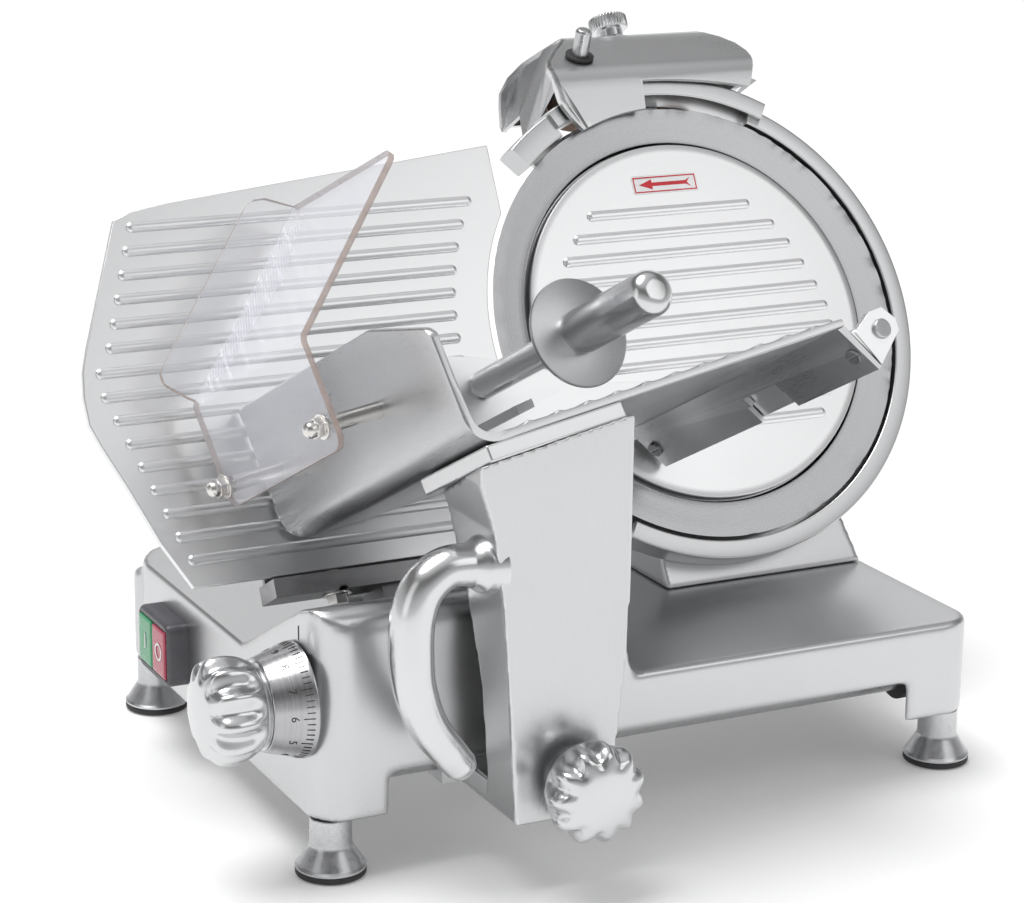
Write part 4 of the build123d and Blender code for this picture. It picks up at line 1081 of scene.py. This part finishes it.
# fluted knobs: a turned blank, its scoops cut by the node tree
def knobMesh(profile, shares, flutes, depth, sharpness, place, material, steps=240):
    bm = lathe(profile, steps)
    bmesh.ops.transform(bm, matrix=Matrix.Scale(mm, 4), verts=bm.verts)
    bmesh.ops.recalc_face_normals(bm, faces=bm.faces)
    mesh = plainMesh(bm, "knobBlank")
    attribute = mesh.attributes.new("fluteShare", "FLOAT", "POINT")
    for i, vert in enumerate(mesh.vertices):
        z = vert.co.z / mm
        r = math.hypot(vert.co.x, vert.co.y) / mm
        attribute.data[i].value = shareAt(shares, z) * min(1.0, r / (0.55 * profile[-1][0] + 12))
    mesh = grown(flutedKnob, mesh, Flutes=float(flutes), Depth=depth * mm, Sharpness=sharpness, Material=material)
    mesh.transform(place @ Matrix.Scale(1 / mm, 4))
    if "fluteShare" in mesh.attributes:
        mesh.attributes.remove(mesh.attributes["fluteShare"])
    return mesh


def shareAt(shares, z):
    for (z0, s0), (z1, s1) in zip(shares, shares[1:]):
        if z0 <= z <= z1:
            t = (z - z0) / (z1 - z0)
            t = t * t * (3 - 2 * t)
            return s0 + (s1 - s0) * t
    return shares[0][1] if z < shares[0][0] else shares[-1][1]


# a point between the middle two of four, on a rounded run
def runPoint(p0, p1, p2, p3, t):
    return 0.5 * ((2 * p1) + (p2 - p0) * t + (2 * p0 - 5 * p1 + 4 * p2 - p3) * t * t
                  + (3 * p1 - p0 - 3 * p2 + p3) * t ** 3)


# rounded run through profile points
def smoothLine(points, steps=6):
    result = []
    count = len(points)
    for i in range(count - 1):
        p0 = Vector(points[max(i - 1, 0)])
        p1, p2 = Vector(points[i]), Vector(points[i + 1])
        p3 = Vector(points[min(i + 2, count - 1)])
        for k in range(steps):
            t = k / steps
            p = runPoint(p0, p1, p2, p3, t)
            result.append((max(p.x, 0.0), p.y))
    result.append(tuple(points[-1]))
    return result


dialPlace = placeOf(Vector((-229.5, -140, 107)) * mm, Vector((-1, 0, 0)), Vector((0, 1, 0)))
dialKnobLine = [(0, 26), (20, 26), (26.2, 26.2)] + smoothLine(
    [(24.4, 26.6), (27.4, 31), (30.6, 38), (32, 46), (31.4, 52.5), (29.2, 56.8), (25.4, 59.6), (18, 62.2), (9, 63.6),
     (0, 64.2)])
addPiece("dialKnob", knobMesh(dialKnobLine, [(29, 0.0), (40, 0.9), (58.0, 1.0), (60.2, 0.7), (62.4, 0.0)], 11, 5.0,
                              0.95, dialPlace, polishedMetal), "dial", None,
         ["thickness_knob"], crease=50)
armKnobPlace = placeOf(Vector((-92.6, -228, 67)) * mm, Vector((0, -1, 0)), Vector((1, 0, 0)))
armKnobLine = [(0, 0.6), (15.4, 0.6), (17, 1.6), (17, 7.2), (21, 8)] + smoothLine(
    [(21.4, 8.0), (25.6, 9.6), (28.6, 15), (30.2, 22), (29.8, 28), (27.8, 32), (24.4, 34.8), (17, 37.4),
     (8, 38.8), (0, 39.2)])
addPiece("armKnob", knobMesh(armKnobLine, [(9, 0.0), (17, 0.9), (32.5, 1.0), (35.2, 0.6), (37.6, 0.0)], 11, 4.2, 1.1,
                             armKnobPlace, polishedMetal), "arm_lock", None, ["arm_knob"],
         crease=50)
tiePlace = bladePlace @ Matrix.Translation((0, 0, -142)) @ Matrix.Rotation(math.pi, 4, "X")
tieLine = [(0, 0), (17.6, 0)] + smoothLine(
    [(17.8, 0.1), (19.6, 2), (20, 7), (19.6, 12.6), (17, 15), (10, 15.8), (0, 16)])
addPiece("coverTieKnob", knobMesh(tieLine, [(0, 0.5), (3, 1.0), (12, 1.0), (15, 0.2)], 8, 2.4, 0.8, tiePlace,
                                  polishedMetal, 160), "cover_tie", None, ["cover_tie_knob"],
         crease=50)
lockPlace = placeOf(bladeAt(7, 0, -44), upBlade, alongX)
lockLine = [(0, 199.5), (4, 199.5), (4, 217.6), (8.4, 218), (9, 218.6), (9, 223.6), (12.6, 224.1), (13.3, 224.8),
            (13.5, 226), (13.5, 232.4), (13.1, 233.4), (12.2, 234), (9.6, 234), (9.0, 233.4), (0, 233.4)]
addPiece("sharpenerLock", knobMesh(lockLine, [(223.9, 0.0), (224.6, 1.0), (233.0, 1.0), (233.9, 0.0)], 40, 0.6, 0.7,
                                   lockPlace, polishedMetal, 320), "sharpener_lock", None,
         ["lock_knob"], crease=35)

# dial skirt with its graduations
dialSizes = {"back": 0.6, "rim": 34.5, "rimTop": 3.0, "top": 26.0, "neck": 27.5, "ticks": 60, "tickLength": 4.6,
             "tickWidth": 0.5, "longTick": 1.5, "proud": 0.16, "numberHigh": 5.2, "numbers": 12, "numberAt": 12.5}
dialMetal = turnedMetal("turnedDial", {"colour": (0.62, 0.62, 0.63), "darkColour": (0.40, 0.40, 0.41),
                                       "rough": (0.16, 0.30), "ringScale": 1100, "patchScale": 40, "ringBump": 0.08,
                                       "paintedGlint": 0.45}, dialPlace)
dialLine = [(6, 0.6), (33.9, 0.6), (34.5, 1.1), (34.5, 2.6), (34.2, 3.2), (27.7, 25.6), (27.2, 26), (6, 26),
            (6, 0.6)]
addPiece("dialSkirt", toMesh(moved(lathe(dialLine, 160), dialPlace)), "dial", dialMetal,
         ["thickness_dial"], crease=28)


# a point on the cone and its two directions, in the dial's own frame
def dialCone(angle, along, proud=0.0):
    d = dialSizes
    a = math.radians(angle)
    out = Vector((math.cos(a), math.sin(a), 0))
    low, high = Vector((d["rim"], d["rimTop"])), Vector((d["neck"], d["top"]))
    slope2 = (high - low).normalized()
    slope = out * slope2.x + Vector((0, 0, slope2.y))
    normal = out * slope2.y - Vector((0, 0, slope2.x))
    spot = out * low.x + Vector((0, 0, low.y)) + slope * along
    return spot + normal * proud, slope, normal


def dialMarks():
    d = dialSizes
    bm = bmesh.new()
    rows = []
    for k in range(d["ticks"]):
        grow = d["longTick"] if k % 5 == 0 else 1.0  # every fifth mark is long
        reach = d["tickLength"] * grow
        spot, slope, normal = dialCone(360 * k / d["ticks"], 0.6 + reach / 2)
        bm.verts.new(spot * mm)
        rows.append((slope, normal, grow))
    mesh = plainMesh(bm, "tickPoints")
    columns = (("slope", "FLOAT_VECTOR", 0), ("outward", "FLOAT_VECTOR", 1), ("stretch", "FLOAT", 2))
    for label, kind, column in columns:
        attribute = mesh.attributes.new(label, kind, "POINT")
        for i, row in enumerate(rows):
            setattr(attribute.data[i], "value" if kind == "FLOAT" else "vector", row[column])
    mesh = grown(dialTicks, mesh, Width=d["tickWidth"] * mm, Length=d["tickLength"] * mm, Proud=d["proud"] * mm,
                 Material=darkMark)
    mesh.transform(dialPlace @ Matrix.Scale(1 / mm, 4))
    return mesh


def dialNumbers():
    d = dialSizes
    total = bmesh.new()
    for k in range(d["numbers"]):
        curve = bpy.data.curves.new("figure", "FONT")
        curve.body = str(k)
        curve.size = d["numberHigh"] * 1.3
        curve.extrude = 0.08
        curve.resolution_u = 3
        curve.align_x, curve.align_y = "CENTER", "CENTER"
        holder = placed("figure", curve)
        flat = evaluated(holder)
        spot, slope, normal = dialCone(360 * k / d["numbers"], d["numberAt"], 0.06)
        side = slope.cross(normal)
        turn = Matrix((side, -slope, normal)).transposed().to_4x4()
        if turn.determinant() < 0:
            turn = Matrix((-side, -slope, normal)).transposed().to_4x4()
        flat.transform(dialPlace @ Matrix.Translation(spot) @ turn)
        total.from_mesh(flat)
        bpy.data.meshes.remove(flat)
    return toMesh(total, merge=1e-6)


addPiece("dialGraduations", dialMarks(), "dial", None)
addPiece("dialFigures", dialNumbers(), "dial", darkMark)
indexPlace = placeOf(Vector((-229.5, -140, 107)) * mm, Vector((-1, 0, 0)), Vector((0, 0, 1)))
indexShape = [(36.2, -0.55), (45.0, -0.55), (45.0, 0.55), (36.2, 0.55)]
addPiece("dialIndex", toMesh(moved(slab(rounded(indexShape, 0.3), -0.4, 0.25), indexPlace)), "frame", darkMark)

print("stage: hand grip")

# hand grip: a cast bar swept through soft bends, thinner at its free end
gripRoute = [((-138, -210, 199), 19.5), ((-147, -210, 199), 17.5), ((-156, -210, 199.5), 13.2),
             ((-170, -210, 199), 12.8), ((-183, -210.5, 190), 13.2), ((-189.5, -211, 174), 13.4),
             ((-190.5, -211, 152), 13.4), ((-188, -211, 130), 12.8), ((-180, -211, 108), 12.0),
             ((-168, -211, 91), 11.2), ((-160, -211, 81), 10.4), ((-156.8, -211, 77), 8.6), ((-155.2, -211, 75), 4.0)]
gripSizes = {"steps": 8, "sides": 48, "wide": 1.04, "high": 0.96}


def gripMesh():
    g = gripSizes
    centres = [Vector(p) for p, r in gripRoute]
    radii = [r for p, r in gripRoute]
    fine = []
    for i in range(len(centres) - 1):
        p0, p1, p2 = centres[max(i - 1, 0)], centres[i], centres[i + 1]
        p3 = centres[min(i + 2, len(centres) - 1)]
        r1, r2 = radii[i], radii[i + 1]
        for k in range(g["steps"]):
            t = k / g["steps"]
            p = runPoint(p0, p1, p2, p3, t)
            ease = t * t * (3 - 2 * t)
            fine.append((p, r1 + (r2 - r1) * ease))
    fine.append((centres[-1], radii[-1]))
    rings = []
    side = Vector((0, 1, 0))
    for i, (p, r) in enumerate(fine):
        before, after = fine[max(i - 1, 0)][0], fine[min(i + 1, len(fine) - 1)][0]
        run = (after - before).normalized()
        up = run.cross(side).normalized()
        ring = []
        for k in range(g["sides"]):
            a = 2 * math.pi * k / g["sides"]
            ring.append((p + side * (r * g["wide"] * math.cos(a)) + up * (r * g["high"] * math.sin(a))) * mm)
        rings.append(ring)
    return toMesh(loft(rings), merge=1e-6)


addPiece("handGripBar", gripMesh(), "carriage", polishedMetal, ["hand_grip"], crease=45)

print("stage: feet, switches and small fittings")

# feet
footSizes = {"spanX": 429.0, "spanY": 302.0}
footLine = [(0, 4), (20.6, 4), (21.2, 4.5), (21.3, 5.6), (20.4, 6.6)] + smoothLine(
    [(20.0, 7.0), (17.4, 11.2), (14.6, 15.6), (13.0, 18.6), (12.7, 22)]
    ) + [(12.7, 35.4), (12.2, 36), (6, 36), (6, 55), (0, 55)]
padLine = [(0, 0), (19.8, 0), (20.8, 0.5), (21.2, 1.2), (21.3, 3.2), (21.0, 4), (0, 4)]


def fourTimes(profile, steps):
    parts = []
    for sideX in (-1, 1):
        for sideY in (-1, 1):
            spot = Matrix.Translation((sideX * footSizes["spanX"] / 2, sideY * footSizes["spanY"] / 2, 0))
            parts.append(moved(lathe(profile, steps), spot))
    return toMesh(moved(joined(*parts), Matrix.Scale(mm, 4)), merge=1e-7)


addPiece("footCones", fourTimes(footLine, 72), "frame", steelMetal, ["foot_stems"], crease=35)
addPiece("footSoles", fourTimes(padLine, 72), "frame", rubber, ["foot_pads"], crease=35)

# switch box and its two buttons
switchSizes = {"y": 74.0, "z": 72.0, "half": (28.0, 21.0), "depth": 14.0, "button": (12.0, 16.0), "gap": 0.35,
               "spacing": 12.6, "round": 7.0}
switchPlace = placeOf(Vector((-229.5, 74.0, 72.0)) * mm, Vector((-1, 0, 0)), Vector((0, -1, 0)))


def rectangle(x, y, halfX, halfY):
    return [(x - halfX, y - halfY), (x + halfX, y - halfY), (x + halfX, y + halfY), (x - halfX, y + halfY)]


# a rounded frame round the two buttons, its face dished towards them
def bezel():
    s = switchSizes
    outer = rounded(rectangle(0, 0, *s["half"]), s["round"], 8)
    inner = rounded(rectangle(0, 0, s["spacing"] + s["button"][0] + s["gap"], s["button"][1] + s["gap"]), 2.0, 8)
    steps = [(outer, 1.0, 0.0), (outer, 1.0, s["depth"] - 3), (outer, 0.965, s["depth"] - 0.8), (outer, 0.93, s["depth"]),
             (inner, 1.035, s["depth"]), (inner, 1.0, s["depth"] - 1.2), (inner, 1.0, 2.0)]
    rings = [[Vector((x * scale, y * scale, z)) for x, y in shape] for shape, scale, z in steps]
    return toMesh(moved(loft(rings), switchPlace), merge=1e-6)


def buttonCap(side):
    s = switchSizes
    flat = rounded(rectangle(side * s["spacing"], 0, s["button"][0] - 0.2, s["button"][1]), 1.4, 5)
    middle = Vector((side * s["spacing"], 0))
    rings = []
    for scale, z in ((1.0, s["depth"] - 4.2), (1.0, s["depth"] + 0.2), (0.95, s["depth"] + 0.9), (0.86, s["depth"] + 1.15),
                     (0.4, s["depth"] + 0.75), (0.1, s["depth"] + 0.7)):
        rings.append([Vector((*(middle + (Vector(p) - middle) * scale), z)) for p in flat])
    return toMesh(moved(loft(rings), switchPlace), merge=1e-6)


def startMark():
    s = switchSizes
    top = s["depth"] + 0.75
    return toMesh(moved(slab(rounded(rectangle(-s["spacing"], 0, 0.9, 5.6), 0.4), top, top + 0.35), switchPlace))


def stopMark():
    s = switchSizes
    top = s["depth"] + 0.75
    ring = [(4.4, top), (5.9, top), (5.9, top + 0.35), (4.4, top + 0.35), (4.4, top)]
    return toMesh(moved(moved(lathe(ring, 48), Matrix.Translation((s["spacing"], 0, 0))), switchPlace))


addPiece("switchBezel", bezel(), "frame", darkPlastic, ["switch_box"], crease=35)
addPiece("startCap", buttonCap(-1), "start", greenPlastic, ["start_button"], crease=35)
addPiece("stopCap", buttonCap(1), "stop", redPlastic, ["stop_button"], crease=35)
addPiece("startSign", startMark(), "start", paleMark)
addPiece("stopSign", stopMark(), "stop", paleMark)

# fittings that keep their solid shape but get eased edges
eased = [("gauge_bracket", "gaugeBracketBar", "gauge", darkMetal, "cast_aluminium", 1.0),
         ("gauge_bolt", "gaugeBoltSet", "gauge", fastenerMetal, "bright_screws", 0.5),
         ("gauge_guide_rod", "gaugeRod", "frame", steelMetal, "brushed_steel", 0.8),
         ("rear_cover", "rearCoverPlate", "frame", plateMetal, "plate_aluminium", 0.8),
         ("cover_screws", "coverScrewSet", "frame", fastenerMetal, "bright_screws", 0.4),
         ("push_button", "sharpenerPin", "sharpener_button", steelMetal, "brushed_steel", 0.5),
         ("button_bush", "pinBush", "sharpener", rubber, "black_plastic", 0.5),
         ("sharpener_post", "sharpenerPillar", "frame", steelMetal, "brushed_steel", 0.8),
         ("cable_gland", "cableGland", "frame", darkPlastic, "black_plastic", 0.8),
         ("carrier_block", "carrierSlide", "carriage", castMetal, "cast_aluminium", 1.2),
         ("slide_rod", "slideBar", "frame", steelMetal, "brushed_steel", 0.8),
         ("guide_bar", "guideSquareBar", "frame", steelMetal, "brushed_steel", 0.8),
         ("rod_supports", "rodBrackets", "frame", castMetal, "cast_aluminium", 1.0),
         ("bottom_plate", "bottomCover", "frame", plateMetal, "plate_aluminium", 0.5)]
for source, name, body, material, slotName, width in eased:
    addPiece(name, edgeFinish(cadCopy(source), width, 2, 30), body, material, [source])

print("stage: sharpener")

# sharpener hood: a bent shell with a slanted left end and a notched front
hoodSizes = {"thick": 4.0, "across": 36, "notch": -9.2, "bladeRadius": 147.6, "notchTop": 167.8, "sag": 0.00135,
             "lean": 13.1, "leanShare": 0.25, "leanCurve": 1.4, "footRows": 4, "endAt": 78, "endFoot": 164,
             "endReach": 72, "plate": 3.6, "gap": 0.6}
# each station: out, up, left end, right end
hoodStations = [(10.0, 157.0, -72.8, 75.0), (10.0, 163.0, -73.4, 77.5), (10.0, 169.0, -74.0, 80.0),
                (9.4, 174.0, -74.3, 82.0), (7.4, 178.6, -74.4, 84.0), (4.2, 182.6, -74.2, 85.4),
                (-2.0, 189.2, -70.0, 86.6), (-10.0, 198.2, -60.5, 84.0), (-17.0, 206.0, -51.0, 77.0),
                (-22.0, 211.4, -44.6, 68.5), (-24.6, 213.4, -42.2, 64.5), (-28.0, 213.4, -44.0, 64.0),
                (-38.0, 209.8, -54.0, 67.0), (-48.0, 205.4, -64.5, 72.0), (-55.0, 198.0, -74.0, 76.0),
                (-60.0, 188.5, -80.5, 79.0), (-62.0, 178.0, -82.4, 80.0), (-62.0, 164.0, -84.6, 80.0)]


# lowest point of the front panel: along the blade on the left, the notch's top on the right
def hoodFrontFoot(u):
    h = hoodSizes
    if u < h["notch"]:
        return math.sqrt(h["bladeRadius"] ** 2 - u * u)
    return h["notchTop"] - h["sag"] * max(0.0, u + 8) ** 2


def hoodColumns():
    count = hoodSizes["across"]
    shares = [k / count for k in range(count + 1)]
    split = (hoodSizes["notch"] - hoodStations[1][2]) / (hoodStations[1][3] - hoodStations[1][2])
    return sorted(shares + [split - 0.002, split + 0.002])


def hoodColumn(q):
    h = hoodSizes
    out, up, left, right = hoodStations[0]
    u = left + (right - left) * q
    lean = h["lean"] * max(0.0, 1 - q / h["leanShare"]) ** 2  # the left edge runs in towards its foot
    foot = hoodFrontFoot(u + lean)
    column = []
    for k in range(h["footRows"]):
        t = k / h["footRows"]
        level = min(foot + (up - foot) * t, up - 0.2 * (h["footRows"] - k)) if foot < up else foot
        column.append(bladeAt(u + lean * (1 - t) ** h["leanCurve"], level, out))
    for out, up, left, right in hoodStations:
        u = left + (right - left) * q
        level = max(up, hoodFrontFoot(u) + 0.05 * (up - 156)) if out > 9.9 else up
        column.append(bladeAt(u, level, out))
    return column


def hoodShell():
    bm = bmesh.new()
    grid = [[bm.verts.new(p) for p in hoodColumn(q)] for q in hoodColumns()]
    for a, b in zip(grid, grid[1:]):
        for i in range(len(a) - 1):
            bm.faces.new((a[i], b[i], b[i + 1], a[i + 1]))
    addHoodEnd(bm, grid[-1][hoodSizes["footRows"]:])
    bmesh.ops.remove_doubles(bm, verts=bm.verts, dist=0.05 * mm)
    bmesh.ops.recalc_face_normals(bm, faces=bm.faces)
    if bm.faces[0].normal.dot(outBlade) < 0 and bm.faces[0].calc_center_median().y < 0.2:
        bmesh.ops.reverse_faces(bm, faces=bm.faces)
    mesh = plainMesh(bm, "hoodSkin")
    wall = {"thickness": hoodSizes["thick"] * mm, "offset": -1.0, "use_even_offset": True}
    return edgeFinish(shaped(mesh, ("SOLIDIFY", wall)), 0.8, 2, 45)


# right end wall, closed straight down to the level of the stations' feet
def addHoodEnd(bm, rim):
    h = hoodSizes
    last = len(rim) - 1
    feet = [bm.verts.new(bladeAt(h["endAt"], h["endFoot"], 10 - h["endReach"] * i / last)) for i in range(last + 1)]
    for i in range(last):
        bm.faces.new((rim[i], rim[i + 1], feet[i + 1], feet[i]))


# the slanted end plate with its two notches
def hoodLeftEnd():
    top = [bladeAt(left + hoodSizes["gap"], up, out) for out, up, left, right in hoodStations]
    lower = [(-61.0, 160.5, -85.0), (-39.0, 164.2, -80.4), (-36.5, 147.8, -82.7), (-33.0, 146.0, -82.0),
             (-18.5, 147.0, -79.5), (-17.0, 150.0, -79.2), (-16.5, 161.0, -76.6), (4.0, 164.6, -72.8),
             (8.0, 150.0, -68.0), (10.0, 135.6, -60.0)]
    foot = [bladeAt(u + hoodSizes["gap"], v, w) for w, v, u in lower]
    inner = Vector((hoodSizes["plate"] * mm, 0, 0))
    ring = top + foot
    bm = bmesh.new()
    outside = [bm.verts.new(p) for p in ring]
    inside = [bm.verts.new(p + inner) for p in ring]
    count = len(ring)
    bm.faces.new(outside)
    bm.faces.new(list(reversed(inside)))
    for i in range(count):
        j = (i + 1) % count
        bm.faces.new((outside[i], inside[i], inside[j], outside[j]))
    bmesh.ops.triangulate(bm, faces=[f for f in bm.faces if len(f.verts) > 4])
    return edgeFinish(toMesh(bm, merge=1e-6), 0.5, 2, 45)


addPiece("sharpenerBody", hoodShell(), "sharpener", castMetal, ["sharpener_hood"])
addPiece("sharpenerEnd", hoodLeftEnd(), "sharpener", castMetal)

print("stage: remaining solids")

# every other solid keeps its shape and gets its finish
finishOf = {"cast_aluminium": castMetal, "plate_aluminium": plateMetal, "polished_aluminium": polishedMetal,
            "blade_steel": bladeMetal, "brushed_steel": steelMetal, "bright_screws": fastenerMetal,
            "dark_steel": darkMetal, "clear_guard": clearPlastic, "foot_rubber": rubber,
            "black_plastic": darkPlastic, "green_button": greenPlastic, "red_button": redPlastic,
            "belt_rubber": rubber, "abrasive": stoneGrit}
slotOf = {part["node"]: part["material_slot"] for part in frame["record"]["subparts"]}
for name, solid in frame["nodes"].items():
    solid.data.materials.clear()
    solid.data.materials.append(finishOf[slotOf[name]])

print("stage: camera, floor and light")

# camera
cameraSizes = {"spot": (-0.8193, -1.5843, 0.6957), "turn": 26.69, "pitch": 15.72, "roll": -0.80, "lens": 100.26}


def addCamera():
    s = cameraSizes
    turn, pitch, roll = (math.radians(s[key]) for key in ("turn", "pitch", "roll"))
    right = Vector((math.cos(turn), -math.sin(turn), 0))
    ahead = Vector((math.sin(turn) * math.cos(pitch), math.cos(turn) * math.cos(pitch), -math.sin(pitch)))
    down = ahead.cross(right)
    rightRolled = right * math.cos(roll) + down * math.sin(roll)
    downRolled = right * -math.sin(roll) + down * math.cos(roll)
    data = bpy.data.cameras.new("camera")
    data.lens = s["lens"]
    data.sensor_width = 36.0
    data.clip_end = 50.0
    camera = placed("camera", data)
    camera.matrix_world = Matrix.Translation(s["spot"]) @ Matrix(
        (rightRolled, -downRolled, -ahead)).transposed().to_4x4()
    scene.camera = camera


addCamera()

# pale floor, soft lights
lightLook = {"sky": [(0.0, 0.95), (0.12, 0.80), (0.28, 0.66), (0.44, 0.30), (0.66, 0.22), (0.82, 0.75), (1.0, 1.0)],
             "skyPower": 0.74, "floor": 0.86, "glow": 0.14, "sun": 2.2, "sunAngle": 34.0, "sunTurn": (-8, -14, 0),
             "floorSpan": 9.0, "floorDrop": 0.0004}
softboxes = [("plateBox", (0.95, -1.55, 1.55), (0.0, 0.0, 0.28), 1.5, 1.1, 6.0),
             ("leftBox", (-2.2, -0.6, 1.0), (0, 0, 0.25), 1.0, 1.6, 3),
             ("backBox", (1.2, 2.2, 1.4), (0, 0, 0.2), 2.2, 0.9, 5)]


def addFloor():
    bm = bmesh.new()
    edge, low = lightLook["floorSpan"], -lightLook["floorDrop"]
    corners = [bm.verts.new((x * edge, y * edge, low)) for x, y in ((-1, -1), (1, -1), (1, 1), (-1, 1))]
    bm.faces.new(corners)
    mesh = plainMesh(bm, "floor")
    floor = placed("floor", mesh)
    pale = lightLook["floor"]
    paint = moulded("paleFloor", {"colour": (pale,) * 3, "darkColour": (pale - 0.01,) * 3, "rough": (0.6, 0.7),
                                  "grainScale": 300, "patchScale": 2, "bump": 0.01})
    shader = paint.node_tree.nodes["Principled BSDF"]
    shader.inputs["Emission Color"].default_value = (1, 1, 1, 1)
    shader.inputs["Emission Strength"].default_value = lightLook["glow"]
    mesh.materials.append(paint)


def addLights():
    world = bpy.data.worlds.new("studio")
    world.use_nodes = True
    tree = world.node_tree
    back = tree.nodes["Background"]
    coords = node(tree, "ShaderNodeTexCoord", (-900, 0))
    parts = node(tree, "ShaderNodeSeparateXYZ", (-700, 0))
    sky = ramp(tree, (-500, 0), [(place, (level, level, level * 1.01)) for place, level in lightLook["sky"]])
    tree.links.new(coords.outputs["Generated"], parts.inputs[0])
    tree.links.new(parts.outputs[2], sky.inputs["Fac"])
    tree.links.new(sky.outputs["Color"], back.inputs["Color"])
    back.inputs["Strength"].default_value = lightLook["skyPower"]
    scene.world = world
    sun = bpy.data.lights.new("softSun", "SUN")
    sun.energy = lightLook["sun"]
    sun.angle = math.radians(lightLook["sunAngle"])
    lamp = placed("softSun", sun)
    lamp.rotation_euler = [math.radians(v) for v in lightLook["sunTurn"]]
    for name, spot, aim, width, height, power in softboxes:
        data = bpy.data.lights.new(name, "AREA")
        data.shape = "RECTANGLE"
        data.size, data.size_y = width, height
        data.energy = power
        lamp = placed(name, data)
        lamp.location = spot
        lamp.rotation_euler = (Vector(aim) - Vector(spot)).to_track_quat("-Z", "Y").to_euler()


addFloor()
addLights()
scene.view_settings.view_transform = "Standard"

print("stage: done")
